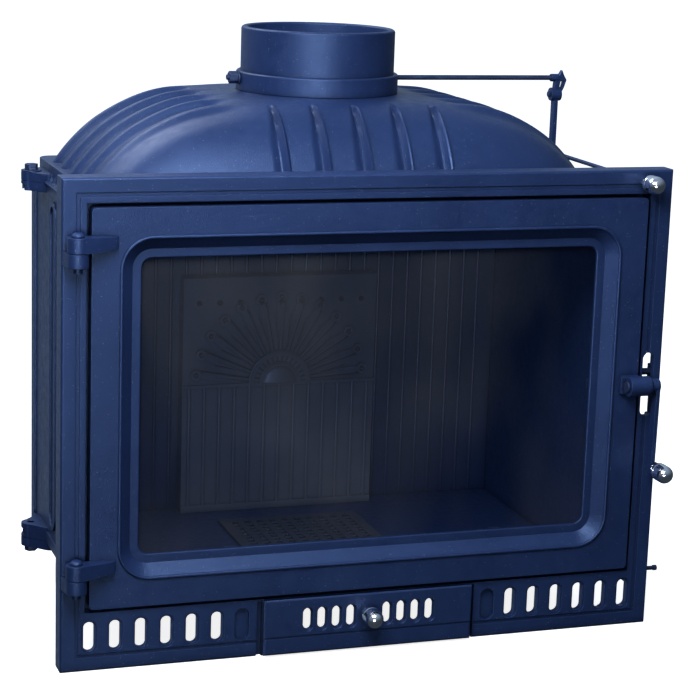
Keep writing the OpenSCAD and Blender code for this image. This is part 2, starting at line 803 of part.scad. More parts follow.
module smoke_baffle() color(iron) {
    box([-wall_x + 3, baffle_y0, baffle_z], [wall_x - 3, back_y - 4, baffle_z + baffle_t]);
    box([-wall_x + 3, baffle_y0, baffle_z], [wall_x - 3, baffle_y0 + 10, baffle_z + 18]);
}

// Hood

function side_share(x, a) = pow(min(1, abs(x) / a), hood_nx);
function end_share(y, inset) =
    y < hood_flat_y0 ? pow(min(1, (hood_flat_y0 - y) / (hood_flat_y0 - hood_y0 - inset)), hood_ny)
    : y > hood_flat_y1
        ? pow(min(1, (y - hood_flat_y1) / (hood_y1 - inset - hood_flat_y1)), hood_ny)
    : 0;
function ease(t) = let (c = max(0, min(1, t))) c * c * (3 - 2 * c);
function scallop(x, y) =
    y <= ridge_first || y >= ridge_last ? 0
    : let (p = (ridge_last - y) / ridge_pitch)
      scallop_d * ease((abs(x) - scallop_x0) / (scallop_x1 - scallop_x0))
      * sin(180 * pow(p - floor(p), 0.6));
function hood_height(x, y, inset, drop, cut) =
    let (left = 1 - side_share(x, hood_a - inset - cut) - end_share(y, inset))
    hood_foot + (hood_top - drop - 0.8 * cut - hood_foot) * pow(max(0, left), 1 / hood_m);

// Closed skin over a grid of heights, with a flat floor at z0
module height_solid(xs, ys, zs, z0) {
    nx = len(xs);
    ny = len(ys);
    top = [for (j = [0 : ny - 1], i = [0 : nx - 1]) [xs[i], ys[j], zs[j][i]]];
    floor_edge = concat(
        [for (i = [0 : nx - 1]) [xs[i], ys[0], z0]],
        [for (j = [1 : ny - 1]) [xs[nx - 1], ys[j], z0]],
        [for (i = [nx - 2 : -1 : 0]) [xs[i], ys[ny - 1], z0]],
        [for (j = [ny - 2 : -1 : 1]) [xs[0], ys[j], z0]]
    );
    top_edge = concat(
        [for (i = [0 : nx - 1]) i],
        [for (j = [1 : ny - 1]) j * nx + nx - 1],
        [for (i = [nx - 2 : -1 : 0]) (ny - 1) * nx + i],
        [for (j = [ny - 2 : -1 : 1]) j * nx]
    );
    n = len(top_edge);
    base = nx * ny;
    middle = [[(xs[0] + xs[nx - 1]) / 2, (ys[0] + ys[ny - 1]) / 2, z0]];
    polyhedron(
        points = concat(top, floor_edge, middle),
        faces = concat(
            [for (j = [0 : ny - 2], i = [0 : nx - 2])
                [j * nx + i, (j + 1) * nx + i, (j + 1) * nx + i + 1]],
            [for (j = [0 : ny - 2], i = [0 : nx - 2])
                [j * nx + i, (j + 1) * nx + i + 1, j * nx + i + 1]],
            [for (k = [0 : n - 1]) [top_edge[k], top_edge[(k + 1) % n], base + (k + 1) % n]],
            [for (k = [0 : n - 1]) [top_edge[k], base + (k + 1) % n, base + k]],
            [for (k = [0 : n - 1]) [base + k, base + (k + 1) % n, base + n]]
        ),
        convexity = 6
    );
}

module hood_outside() {
    xs = [for (i = [0 : hood_cols]) hood_a * sin(90 * (2 * i / hood_cols - 1))];
    zs = [for (y = hood_rows) [for (x = xs)
        max(wall_z1 + 2, hood_height(x, y, 0, 0, scallop(x, y)))]];
    height_solid(xs, hood_rows, zs, wall_z1 + 1);
}

module hood_inside() {
    a = hood_a - hood_shell;
    xs = [for (i = [0 : 18]) a * sin(90 * (2 * i / 18 - 1))];
    zs = [for (y = inner_rows) [for (x = xs)
        max(wall_z1 - 0.5, hood_height(x, y, hood_shell - 5, hood_shell, 5))]];
    height_solid(xs, inner_rows, zs, wall_z1 - 1);
}

// Upright rib down the hood's front, thin at the top and full at the bottom
module hood_rib(x) {
    y1 = rib_back;
    ys = [for (i = [0 : rib_steps]) hood_y0 + 6 + (y1 - hood_y0 - 6) * i / rib_steps];
    translate([x - rib_w / 2, 0, 0]) rotate([90, 0, 90]) linear_extrude(rib_w) polygon(concat(
        [for (y = ys) let (t = min(1, (y1 - y) / 40)) [y - 0.45 * rib_rise * t,
            hood_height(x, y, 0, 0, 0) + 0.4 + 0.8 * rib_rise * t]],
        [[y1, hood_height(x, y1, 0, 0, 0) - 4], [hood_y0 + 14, wall_z1 + 4],
         [hood_y0 + 2, wall_z1 + 4]]
    ));
}

module hood() color(iron) difference() {
    union() {
        translate([0, 0, wall_z1]) linear_extrude(hood_flange_t) union() {
            translate([-flange_x, ledge_back])
                square([2 * flange_x, body_depth - ledge_back - hood_corner_r]);
            translate([-flange_x + hood_corner_r, ledge_back])
                square([2 * (flange_x - hood_corner_r), body_depth - ledge_back]);
            for (s = [-1, 1]) translate([s * (flange_x - hood_corner_r), body_depth - hood_corner_r])
                circle(hood_corner_r);
        }
        for (s = [0, 1], y = ear_ys) mirror([s, 0, 0]) ear(y, wall_z1, wall_z1 + hood_ear_h);
        hood_outside();
        bar_z(0, collar_y, hood_top - hood_shell - over, collar_z0, 2 * pad_r);
        for (i = [-2 : 2]) hood_rib(i * rib_pitch);
    }
    hood_inside();
    bar_z(0, collar_y, wall_z1, collar_z0 + over, 2 * flue_hole_r);
    bar_z(0, collar_y, wall_z1 + 20, hood_top - hood_shell, 2 * pad_r - 3);
    for (s = [-1, 1], y = ear_ys)
        bar_z(s * ear_x, y, wall_z1 - over, wall_z1 + hood_ear_h + over, bolt_d + 2 * still_gap);
    for (a = [45 : 90 : 315]) translate([0, collar_y, 0]) rotate([0, 0, a])
        bar_z(collar_bolt_r, 0, wall_z1, collar_z0 + over, collar_bolt_d + 2 * still_gap);
}

// Flue collar

module flue_collar() color(iron) translate([0, collar_y, 0]) difference() {
    union() {
        rotate_extrude($fn = 96) polygon([
            [collar_in, collar_z0], [collar_foot_r, collar_z0],
            [collar_foot_r, collar_z0 + collar_foot_h - 1.5],
            [collar_foot_r - 1.5, collar_z0 + collar_foot_h],
            [collar_r, collar_z0 + collar_foot_h], [collar_r, collar_z1 - 2.5],
            [collar_r - 1, collar_z1 - 0.7], [collar_r - 2.5, collar_z1],
            [collar_in + 2.5, collar_z1], [collar_in + 0.8, collar_z1 - 0.7],
            [collar_in, collar_z1 - 2.5]
        ]);
        difference() {
            translate([0, 0, collar_z0 - register_h])
                cylinder(h = register_h + over, r = flue_hole_r - seat_gap, $fn = 96);
            translate([0, 0, collar_z0 - register_h - over])
                cylinder(h = register_h + 3 * over, r = collar_in - 1.6, $fn = 96);
        }
    }
    bar_x(-collar_foot_r - 5, collar_foot_r + 5, 0, shaft_z, shaft_d + 2 * run_gap);
    for (a = [45 : 90 : 315]) rotate([0, 0, a])
        bar_z(collar_bolt_r, 0, collar_z0 - over, collar_z0 + 12, collar_bolt_d + 2 * still_gap);
}

// Fasteners of the body

module flange_bolts() color(iron) for (s = [-1, 1], y = ear_ys) {
    top = wall_z1 + hood_ear_h + washer_t;
    bar_z(s * ear_x, y, wall_z1 - nut_roof - nut_h - 0.5, top + over, bolt_d);
    hex_z(s * ear_x, y, top, head_h, nut_flats);
    bar_z(s * ear_x, y, base_flange_z - over, wall_foot_z + nut_roof + nut_h + 2, bolt_d);
    hex_z(s * ear_x, y, base_flange_z - head_h, head_h, nut_flats);
}

module flange_washers() color(iron) for (s = [-1, 1], y = ear_ys)
    translate([s * ear_x, y, wall_z1 + hood_ear_h]) difference() {
        cylinder(h = washer_t, d = washer_d);
        translate([0, 0, -over]) cylinder(h = washer_t + 2 * over, d = bolt_d + 2 * still_gap);
    }

module flange_nuts() color(iron) for (s = [-1, 1], y = ear_ys,
    z = [wall_z1 - nut_roof - nut_h, wall_foot_z + nut_roof]) difference() {
    hex_z(s * ear_x, y, z, nut_h, nut_flats);
    bar_z(s * ear_x, y, z - over, z + nut_h + over, bolt_d + 2 * still_gap);
}

// Hexagonal bolt along Y, head at the back
module bolt_y(x, z, y_tip, y_seat, d, flats, head) {
    bar_y(x, y_tip, y_seat + head / 2, z, d);
    translate([x, y_seat, z]) rotate([-90, 0, 0]) cylinder(h = head, d = flats / cos(30), $fn = 6);
}

module plate_bolts() color(dark_steel) for (s = [-1, 1], z = plate_bolt_zs)
    bolt_y(s * plate_bolt_x, z, recess_depth + 1.5, ledge_back + front_flange_t, bolt_d, 13, 5.5);

module back_wall_bolts() color(dark_steel) for (s = [-1, 1], z = back_bolt_zs)
    bolt_y(s * back_bolt_x, z, back_y + 1, body_depth + 6, back_bolt_d, 8, 4);

module panel_bolts() color(dark_steel) for (s = [-1, 1], z = panel_bolt_zs)
    bolt_y(s * panel_bolt_x, z, panel_y + 9, body_depth + 6, panel_bolt_d, 10, 4.5);

module collar_bolts() color(dark_steel) for (a = [45 : 90 : 315])
    translate([0, collar_y, 0]) rotate([0, 0, a]) {
        z = hood_top - hood_shell - over;
        bar_z(collar_bolt_r, 0, z - over, collar_z0 + 11, collar_bolt_d);
        hex_z(collar_bolt_r, 0, z - 4, 4, 8);
    }

// Hinge pins and latch striker

module hinge_pins() color(iron) for (z = hinge_meets) {
    bar_z(hinge_x, hinge_y, z - knuckle_h - 5, z + knuckle_h + 1, hinge_pin_d);
    translate([hinge_x, hinge_y, z + knuckle_h + seat_gap]) rotate_extrude() polygon([
        [0, 0], [pin_head_r, 0], [pin_head_r, 1.5], [pin_head_r - 1.2, 3.2],
        [pin_head_r - 3.4, 4.4], [0, 4.8]
    ]);
}

module striker_pin() color(dark_steel)
    bar_x(open_x + 1.2, half_w - 2.2, striker_y, striker_z, striker_d);

module shutter_keepers() color(dark_steel) for (x = keeper_xs) {
    lip_y = shutter_y + shutter_t + seat_gap;
    box([x - keeper_w / 2, plate_t, shutter_z0 - 11], [x + keeper_w / 2, lip_y, shutter_z0 - seat_gap]);
    box([x - keeper_w / 2, lip_y, shutter_z0 - 11],
        [x + keeper_w / 2, lip_y + keeper_t, shutter_z0 + keeper_lap]);
}

// Door

// Outline inside the rope seal, at a distance from the door's edge
module seal_rib_outline(e) {
    round_rect(door_x - e, door_z0 + e, door_z1 - e, bead_r);
}

module door_frame() color(iron) difference() {
    union() {
        slab(door_face, door_back) difference() {
            round_rect(door_x, door_z0, door_z1, door_r);
            round_rect(bead_x - 1, bead_z0 + 1, bead_z1 - 1, bead_r - 1);
        }
        slab(door_back - over, edge_rib_y) difference() {
            round_rect(door_x, door_z0, door_z1, door_r);
            round_rect(door_x - edge_rib_w, door_z0 + edge_rib_w, door_z1 - edge_rib_w, door_r);
        }
        slab(door_back - over, door_back + seal_rib_h) difference() {
            seal_rib_outline(seal_in);
            seal_rib_outline(seal_in + seal_rib_w);
        }
        swept_rect(bead_x, bead_z0, bead_z1, bead_r) door_slope();
        swept_rect(bead_x, bead_z0, bead_z1, bead_r) translate([0, door_face]) circle(d = bead_d);
        for (c = clip_sites) bar_y(c[0], door_back - over, glass_back + seat_gap, c[1], 12);
    }
    for (c = clip_sites)
        bar_y(c[0], glass_back - 8, glass_back + over, c[1], clip_screw_d + 2 * still_gap);
    for (c = door_screws) {
        bar_y(c[0], door_face - over, door_back, c[1], strap_screw_d + 2 * still_gap);
        bar_y(c[0], door_back - screw_head_t - seat_gap, door_back + over / 2, c[1],
            strap_head_d + 2 * still_gap);
    }
}

// Section from the bead down to the glass: outward from the bead's path, and depth
module door_slope() {
    lip_y = door_face + lip_set;
    polygon([
        [3, door_face + 2], [-2, door_face], [-slope_w + 10, lip_y], [-slope_w + 1, lip_y],
        [-slope_w, lip_y + 1], [-slope_w, lip_back], [-slope_w + 12, lip_back],
        [-4, door_back], [3, door_back - 1]
    ]);
}

module door_glass() color(glass_tint, 0.5) slab(glass_y, glass_back)
    round_rect(sight_x + glass_lap, sight_z0 - glass_lap, sight_z1 + glass_lap, 12);

module glass_tape() color(rope_grey) slab(lip_back, glass_y) difference() {
    round_rect(sight_x + glass_lap, sight_z0 - glass_lap, sight_z1 + glass_lap, 12);
    round_rect(sight_x + 2, sight_z0 - 2, sight_z1 + 2, 12);
}

module glass_clips() color(dark_steel) for (c = clip_sites)
    translate([c[0], glass_back + seat_gap, c[1]]) rotate([0, c[2], 0]) difference() {
        box([-19, 0, -clip_w / 2], [5, clip_t, clip_w / 2]);
        bar_y(0, -over, clip_t + over, 0, clip_screw_d + 2 * still_gap);
    }

module glass_clip_screws() color(dark_steel) for (c = clip_sites) {
    bar_y(c[0], glass_back - 7, glass_back + seat_gap + clip_t + over, c[1], clip_screw_d);
    bar_y(c[0], glass_back + seat_gap + clip_t, glass_back + seat_gap + clip_t + 2.5, c[1], 9);
}

module door_rope_seal() color(rope_grey)
    swept_rect(door_x - rope_inset, door_z0 + rope_inset, door_z1 - rope_inset, rope_corner_r)
        translate([0, rope_y]) circle(d = rope_d, $fn = 32);

module door_hinge_straps() color(iron) for (z = hinge_meets) difference() {
    union() {
        bar_z(hinge_x, hinge_y, z, z + knuckle_h, knuckle_d);
        intersection() {
            translate([0, 0, z]) linear_extrude(knuckle_h) polygon([
                [hinge_x, hinge_y - knuckle_d / 2 + 0.5], [hinge_x + 8, hinge_y - knuckle_d / 2 + 2],
                [hinge_x + 24, hinge_y - 4], [strap_end - 3, door_face - 6],
                [strap_end, door_face - 3],
                [strap_end, door_face], [-door_x, door_face], [hinge_x + 4, hinge_y + 6]
            ]);
            slab(hinge_y - knuckle_d, door_face + over) polygon([
                [hinge_x - 1, z], [hinge_x + 8, z], [strap_end, z + (strap_h0 - strap_h1) / 2],
                [strap_end, z + knuckle_h - (strap_h0 - strap_h1) / 2],
                [hinge_x + 8, z + knuckle_h], [hinge_x - 1, z + knuckle_h]
            ]);
        }
    }
    bar_z(hinge_x, hinge_y, z - over, z + knuckle_h + over, hinge_pin_d + 2 * run_gap);
    bar_y(-seal_x, door_face - screw_bite - still_gap, door_face + over, z + knuckle_h / 2,
        strap_screw_d + 2 * still_gap);
}

module strap_screws() color(dark_steel) for (c = door_screws) {
    bar_y(c[0], door_face - screw_bite, door_back - over, c[1], strap_screw_d);
    bar_y(c[0], door_back - screw_head_t, door_back, c[1], strap_head_d);
}

// Latch

module latch_bracket() color(iron) difference() {
    union() {
        bar_x(barrel_x0, barrel_x1 - 4, latch_y, latch_z, 2 * barrel_r);
        translate([barrel_x1 - 4, latch_y, latch_z]) rotate([0, 90, 0]) rotate_extrude()
            polygon([[0, 0], [barrel_r, 0], [barrel_r - 1.2, 2.6], [barrel_r - 4, 4], [0, 4]]);
        box([barrel_x0, latch_y, latch_z - 9], [door_x - 1, door_face, latch_z + 9]);
        box([barrel_x0 - 5, door_face - 6, latch_z - 10.5],
            [door_x - 1, door_face, latch_z + 10.5]);
    }
    bar_x(barrel_x0 - over, barrel_x1 + over, latch_y, latch_z, latch_shaft_d + 2 * run_gap);
    for (z = bracket_screw_zs)
        bar_y(seal_x, door_face - screw_bite - still_gap, door_face + over, z,
            strap_screw_d + 2 * still_gap);
}

module latch_shaft() color(dark_steel) {
    bar_x(barrel_x0 - 2.6, lever_x0 + lever_w, latch_y, latch_z, latch_shaft_d);
    bar_x(barrel_x0 - 2.6, barrel_x0 - seat_gap, latch_y, latch_z, latch_shaft_d + 3);
}

module latch_lever() color(iron) difference() {
    union() {
        bar_x(lever_x0, lever_x0 + lever_w, latch_y, latch_z, 2 * hub_r);
        translate([lever_x0, 0, 0]) rotate([90, 0, 90]) linear_extrude(lever_w) polygon([
            [latch_y - hub_r + 1, latch_z], [latch_y + hub_r - 1, latch_z],
            [latch_y + lever_bar / 2, latch_z - lever_len - 4],
            [latch_y - lever_bar / 2, latch_z - lever_len - 4]
        ]);
        bar_x(lever_x0, knob_x + 5, latch_y, latch_z - lever_len, 13);
    }
    bar_x(lever_x0 - over, lever_x0 + lever_w + over, latch_y, latch_z,
        latch_shaft_d + 2 * still_gap);
    bar_y(knob_x, latch_y - 10, latch_y + 3, latch_z - lever_len, knob_stud_d + 2 * still_gap);
}

module latch_hook() color(iron) difference() {
    union() {
        bar_x(hub_x0, hub_x0 + hook_w, latch_y, latch_z, 2 * hub_r);
        translate([hub_x0, 0, 0]) rotate([90, 0, 90]) linear_extrude(hook_w) polygon([
            [latch_y, latch_z - hub_r], [hook_y1 - 7, latch_z - 5], [hook_y1, latch_z + 1.5],
            [hook_y1, striker_z + 2],
            [hook_y1 - hook_tooth, striker_z + 2],
            [hook_y1 - hook_tooth, striker_z - striker_d / 2 - seat_gap],
            [latch_y, latch_z + 5]
        ]);
    }
    bar_x(hub_x0 - over, hub_x0 + hook_w + over, latch_y, latch_z,
        latch_shaft_d + 2 * still_gap);
}

// Polished knob along -Y, seated at y_seat, on a stud that reaches back from it
module knob(x, y_seat, z, stud) {
    translate([x, y_seat, z]) rotate([90, 0, 0]) rotate_extrude() polygon(concat(
        [[0, 0], [knob_d / 2 - 3.5, 0], [knob_d / 2 - 3.5, 1.5], [knob_d / 2 - 5, knob_neck],
         [knob_d / 2 - 1, knob_neck + 3], [knob_d / 2, knob_neck + 5]],
        [for (a = [0 : 10 : 90])
            [knob_d / 2 * cos(a), knob_len - knob_d / 2 + knob_d / 2 * sin(a)]]
    ));
    bar_y(x, y_seat - over, y_seat + stud, z, knob_stud_d);
}

module latch_knob() color(steel)
    knob(knob_x, latch_y - 6.8, latch_z - lever_len, 9);

// Ash drawer

module drawer_front() color(iron) difference() {
    chamfered_block(drawer_x, drawer_clear, drawer_h, -drawer_out, drawer_back, plate_chamfer);
    box([-drawer_x + drawer_t, -drawer_out + drawer_t, drawer_clear + drawer_t],
        [drawer_x - drawer_t, over, drawer_h - drawer_t]);
    for (s = [-1, 1], i = [0 : drawer_slots - 1]) slab(-drawer_out - over, over)
        round_slot(s * (drawer_slot_x0 + i * drawer_slot_pitch), drawer_slot_z,
            drawer_slot_w, drawer_slot_h);
    box([-drawer_x - over, -drawer_out - over, drawer_groove_z],
        [drawer_x + over, -drawer_out + 1, drawer_groove_z + drawer_groove_w]);
    bar_y(drawer_knob_x, -drawer_out - over, 0, drawer_knob_z, knob_stud_d + 2 * still_gap);
}

module drawer_rails() color(dark_steel) for (s = [0, 1]) mirror([s, 0, 0]) {
    box([rail_x - rail_t, -drawer_out + drawer_t, rail_z], [rail_x, pan_y0 + pan_d, rail_z + rail_h]);
    box([rail_x - 18, -drawer_out + drawer_t, rail_z],
        [rail_x - rail_t, -drawer_out + drawer_t + 3, rail_z + rail_h]);
}

module ash_pan() color(iron) difference() {
    box([-rail_x + rail_t, pan_y0, pan_z1 - pan_h], [rail_x - rail_t, pan_y0 + pan_d, pan_z1]);
    box([-rail_x + rail_t + pan_wall, pan_y0 + pan_wall, pan_z1 - pan_h + pan_wall],
        [rail_x - rail_t - pan_wall, pan_y0 + pan_d - pan_wall, pan_z1 + over]);
}

module drawer_runners() color(dark_steel) for (s = [0, 1]) mirror([s, 0, 0]) {
    box([rail_x + runner_gap, runner_y0, rail_z - 4 - runner_gap],
        [rail_x + runner_gap + runner_t, runner_y1, floor_z - floor_t]);
    box([rail_x - 3, runner_y0, rail_z - 4 - runner_gap],
        [rail_x + runner_gap + over, runner_y1, rail_z - runner_gap]);
}

module drawer_knob() color(steel) knob(drawer_knob_x, -drawer_out, drawer_knob_z, 10);

// Damper and its linkage

module damper_shaft() color(iron) difference() {
    bar_x(shaft_x0, crank_x, collar_y, shaft_z, shaft_d);
    for (x = damper_screw_xs)
        bar_z(x, collar_y, shaft_z - disc_hub_r - over, shaft_z + disc_hub_r + over,
            disc_screw_d + 2 * still_gap);
}

module damper_disc() color(iron) difference() {
    union() {
        bar_z(0, collar_y, shaft_z - disc_t / 2, shaft_z + disc_t / 2, 2 * disc_r);
        bar_x(-disc_r + 14, disc_r - 14, collar_y, shaft_z, 2 * disc_hub_r);
    }
    bar_x(-disc_r - over, disc_r + over, collar_y, shaft_z, shaft_d + 2 * still_gap);
    for (x = damper_screw_xs)
        bar_z(x, collar_y, shaft_z - disc_hub_r - over, shaft_z + disc_hub_r + over,
            disc_screw_d + 2 * still_gap);
}

module damper_screws() color(dark_steel) for (x = damper_screw_xs) {
    bar_z(x, collar_y, shaft_z - disc_hub_r - over, shaft_z + disc_hub_r + over, disc_screw_d);
    bar_z(x, collar_y, shaft_z + disc_hub_r + seat_gap, shaft_z + disc_hub_r + 2.8,
        2 * disc_screw_d);
}

module damper_washer() color(iron) difference() {
    bar_x(-collar_foot_r - 2.4, -collar_foot_r - seat_gap, collar_y, shaft_z, 16);
    bar_x(-collar_foot_r - 3.4, -collar_foot_r + over, collar_y, shaft_z,
        shaft_d + 2 * still_gap);
}

module damper_nut() color(iron) difference() {
    translate([-collar_foot_r - 12.4, collar_y, shaft_z]) rotate([0, 90, 0])
        cylinder(h = 10, d = 13 / cos(30), $fn = 6);
    bar_x(-collar_foot_r - 14, -collar_foot_r, collar_y, shaft_z, shaft_d + 2 * still_gap);
}

// Eye and clamp at the shaft's right end
module damper_crank() color(iron) difference() {
    union() {
        slab(collar_y - 3.5, collar_y + 3.5) difference() {
            polygon([
                [crank_x - 3, shaft_z - 16], [crank_x - 2, shaft_z - 4], [crank_x + 4, shaft_z + 4],
                [crank_x + 7.3, shaft_z + 9.5], [crank_x + 9.5, shaft_z + 4],
                [crank_x + 13.5, shaft_z - 2.5], [crank_x + 11, shaft_z - 10],
                [crank_x + 7, shaft_z - 18]
            ]);
            polygon([
                [crank_x + 4.4, shaft_z - 11], [crank_x + 5.6, shaft_z - 4.5],
                [crank_x + 9.4, shaft_z - 4], [crank_x + 7.4, shaft_z - 11.5]
            ]);
        }
        bar_x(crank_x - 7, crank_x + 3, collar_y, shaft_z, shaft_d + 3.5);
        bar_x(crank_x - 6.5, crank_x + 6.5, collar_y, shaft_z - clamp_drop, clamp_d);
    }
    bar_x(crank_x - 10, crank_x + 0.1, collar_y, shaft_z, shaft_d + 2 * still_gap);
    box([arm_x0 - still_gap, collar_y - arm_w / 2 - still_gap, shaft_z - clamp_drop - clamp_d],
        [arm_x0 + arm_t + still_gap, collar_y + arm_w / 2 + still_gap,
         shaft_z - clamp_drop + 4.2]);
    bar_x(crank_x - 12, crank_x, collar_y, shaft_z - clamp_drop, clamp_screw_d + 2 * still_gap);
}

module clamp_screw() color(dark_steel) {
    bar_x(crank_x - 10, arm_x0 - 0.1, collar_y, shaft_z - clamp_drop, clamp_screw_d);
    bar_x(crank_x - 9.4, crank_x - 6.7, collar_y, shaft_z - clamp_drop, 7);
}

// Flat bar that hangs from the clamp, with a slot for the pull rod's pin
module damper_arm() color(iron) difference() {
    union() {
        box([arm_x0, collar_y - arm_w / 2, rod_z + 4],
            [arm_x0 + arm_t, collar_y + arm_w / 2, shaft_z - clamp_drop + 4]);
        box([arm_x0, collar_y - arm_slot / 2 - arm_end, rod_z - arm_slot_low - arm_end],
            [arm_x0 + arm_t, collar_y + arm_slot / 2 + arm_end, rod_z + 12]);
    }
    translate([arm_x0 - over, collar_y, rod_z]) rotate([90, 0, 90])
        linear_extrude(arm_t + 2 * over) translate([-arm_slot / 2, -arm_slot_low])
            square([arm_slot, arm_slot_low + link_pin_d / 2 + 1]);
}

module pull_rod() color(iron) difference() {
    union() {
        bar_y(rod_x, -seat_gap, collar_y + rod_tail, rod_z, rod_d);
        bar_x(rod_x - rod_d / 2 - 1.2, rod_x, collar_y, rod_z, rod_d + 2);
    }
    bar_x(rod_x - rod_d, rod_x + rod_d, collar_y, rod_z, link_stud_d + 2 * still_gap);
}

module pull_rod_pin() color(dark_steel) {
    bar_x(arm_x0 - 2, rod_x - rod_d / 2 - 1.3, collar_y, rod_z, link_pin_d);
    bar_x(rod_x - rod_d / 2 - 3, rod_x + rod_d / 2 + 1.5, collar_y, rod_z, link_stud_d);
}

module pull_knob() color(steel) knob(rod_x, -seat_gap, rod_z, 0);

// Air shutter

module air_shutter() color(dark_steel) difference() {
    union() {
        box([shutter_x0, shutter_y, shutter_z0], [shutter_x1, shutter_y + shutter_t, shutter_z1]);
        box([shutter_x1 - lug_w, shutter_y, shutter_rod_z - 8],
            [shutter_x1, shutter_rod_y + 5, shutter_z1]);
    }
    for (i = [0 : slot_count - 2]) slab(shutter_y - over, shutter_y + shutter_t + over)
        round_slot(slot_x0 - i * slot_pitch, slot_z, slot_w + 1, slot_h + 1);
    bar_x(shutter_x1 - lug_w - over, shutter_x1 + over, shutter_rod_y, shutter_rod_z,
        shutter_rod_d + 2 * still_gap);
}

module shutter_rod() color(dark_steel) {
    bar_x(shutter_x1 - lug_w, half_w + shutter_out, shutter_rod_y, shutter_rod_z, shutter_rod_d);
    bar_x(half_w + shutter_out - 4, half_w + shutter_out, shutter_rod_y, shutter_rod_z,
        shutter_rod_d + 1.5);
}

front_plate();
base_plate();
left_side_wall();
right_side_wall();
back_wall();
fireback_panel();
grate();
smoke_baffle();
hood();
flue_collar();
rear_feet();
drawer_runners();
flange_bolts();
flange_washers();
flange_nuts();
plate_bolts();
back_wall_bolts();
collar_bolts();
panel_bolts();
hinge_pins();
striker_pin();
shutter_keepers();
door_frame();
door_glass();
glass_tape();
glass_clips();
glass_clip_screws();
door_rope_seal();
door_hinge_straps();
strap_screws();
latch_bracket();
latch_shaft();
latch_lever();
latch_hook();
latch_knob();
drawer_front();
drawer_rails();
ash_pan();
drawer_knob();
damper_shaft();
damper_disc();
damper_screws();
damper_washer();
damper_nut();
damper_crank();
damper_arm();
clamp_screw();
pull_rod();
pull_rod_pin();
pull_knob();
air_shutter();
shutter_rod();
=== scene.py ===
import json
import math

import bmesh
import bpy
from bpy.props import (
    BoolProperty,
    FloatProperty,
    FloatVectorProperty,
    IntProperty,
    PointerProperty,
)
from mathutils import Matrix, Vector
from mathutils.bvhtree import BVHTree
from mathutils.geometry import intersect_line_line_2d


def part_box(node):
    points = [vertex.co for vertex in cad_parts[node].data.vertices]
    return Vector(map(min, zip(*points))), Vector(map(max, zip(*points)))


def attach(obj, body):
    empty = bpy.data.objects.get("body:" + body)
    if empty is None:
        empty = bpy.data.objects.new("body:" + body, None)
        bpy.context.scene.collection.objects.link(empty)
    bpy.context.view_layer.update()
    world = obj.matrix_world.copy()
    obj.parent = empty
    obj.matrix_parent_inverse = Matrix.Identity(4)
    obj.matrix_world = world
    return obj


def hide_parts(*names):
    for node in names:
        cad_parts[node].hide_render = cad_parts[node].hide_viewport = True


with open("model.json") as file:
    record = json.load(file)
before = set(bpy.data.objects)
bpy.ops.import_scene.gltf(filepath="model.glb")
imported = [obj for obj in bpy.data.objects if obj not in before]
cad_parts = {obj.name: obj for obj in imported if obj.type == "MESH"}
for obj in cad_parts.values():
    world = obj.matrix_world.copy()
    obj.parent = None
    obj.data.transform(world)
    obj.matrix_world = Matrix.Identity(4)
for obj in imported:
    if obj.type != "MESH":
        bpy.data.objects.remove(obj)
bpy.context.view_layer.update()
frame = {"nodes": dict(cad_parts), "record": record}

bl_info = {
    "name": "Fireplace insert",
    "version": (1, 0, 0),
    "blender": (4, 5, 0),
    "location": "3D View > Sidebar > Insert",
    "description": "Dresses a cast-iron fireplace insert and sets up its studio",
    "category": "Object",
}

MM = 0.001
ROUNDING = 0.0009  # the edge setting for which the tables of widths were made
DOUBLES = 2e-6  # corners of a CAD node closer than this are one
SHARP_EDGE = math.radians(30)
COLOUR = {"subtype": "COLOR", "size": 3, "min": 0.0, "max": 1.0}


class PaintSettings(bpy.types.PropertyGroup):
    colour: FloatVectorProperty(
        name="Paint colour", description="Heat-resistant paint in full light",
        default=(0.0150, 0.0320, 0.1050), **COLOUR)
    shade: FloatVectorProperty(
        name="Darker paint", description="Where the paint lies thinner",
        default=(0.0095, 0.0210, 0.0740), **COLOUR)
    gloss_tint: FloatVectorProperty(
        name="Sheen colour", description="Colour of the paint's highlights",
        default=(0.32, 0.52, 1.0), **COLOUR)
    speck: FloatVectorProperty(
        name="Speck colour", description="Bright grains that show through the paint",
        default=(0.42, 0.50, 0.70), **COLOUR)
    grain: FloatProperty(
        name="Grain size", description="Size of the sand grains in the casting's skin",
        unit="LENGTH", min=0.0002, max=0.01, default=0.0011)
    grain_depth: FloatProperty(
        name="Grain depth", description="Height of those grains",
        unit="LENGTH", min=0.0, max=0.001, default=0.00042)
    # Reach of the painted shade: how far from a nearby surface the paint's colour is darkened in
    # gaps and hollows
    painted_shade_width: FloatProperty(
        name="Painted shade width", description="Width of a gap in which the paint looks darker",
        unit="LENGTH", min=0.001, max=0.05, default=0.011)
    edge: FloatProperty(
        name="Edge rounding", description="Rounding of the castings' edges",
        unit="LENGTH", min=0.0002, max=0.003, default=ROUNDING)


class HoodSettings(bpy.types.PropertyGroup):
    half_width: FloatProperty(
        name="Half width", description="From the middle to the dome's side",
        unit="LENGTH", min=0.25, max=0.4, default=0.311)
    top: FloatProperty(
        name="Top", description="Height of the dome's top",
        unit="LENGTH", min=0.5, max=0.7, default=0.605)
    foot: FloatProperty(
        name="Foot", description="Height from which the dome springs",
        unit="LENGTH", min=0.4, max=0.6, default=0.480)
    scallop: FloatProperty(
        name="Scallop depth", description="Depth of the hollows between the side ridges",
        unit="LENGTH", min=0.0, max=0.012, default=0.0095)
    rib: FloatProperty(
        name="Rib height", description="How far the front ribs stand out",
        unit="LENGTH", min=0.0, max=0.012, default=0.0062)
    wall: FloatProperty(
        name="Wall", description="Thickness of the dome",
        unit="LENGTH", min=0.003, max=0.016, default=0.012)


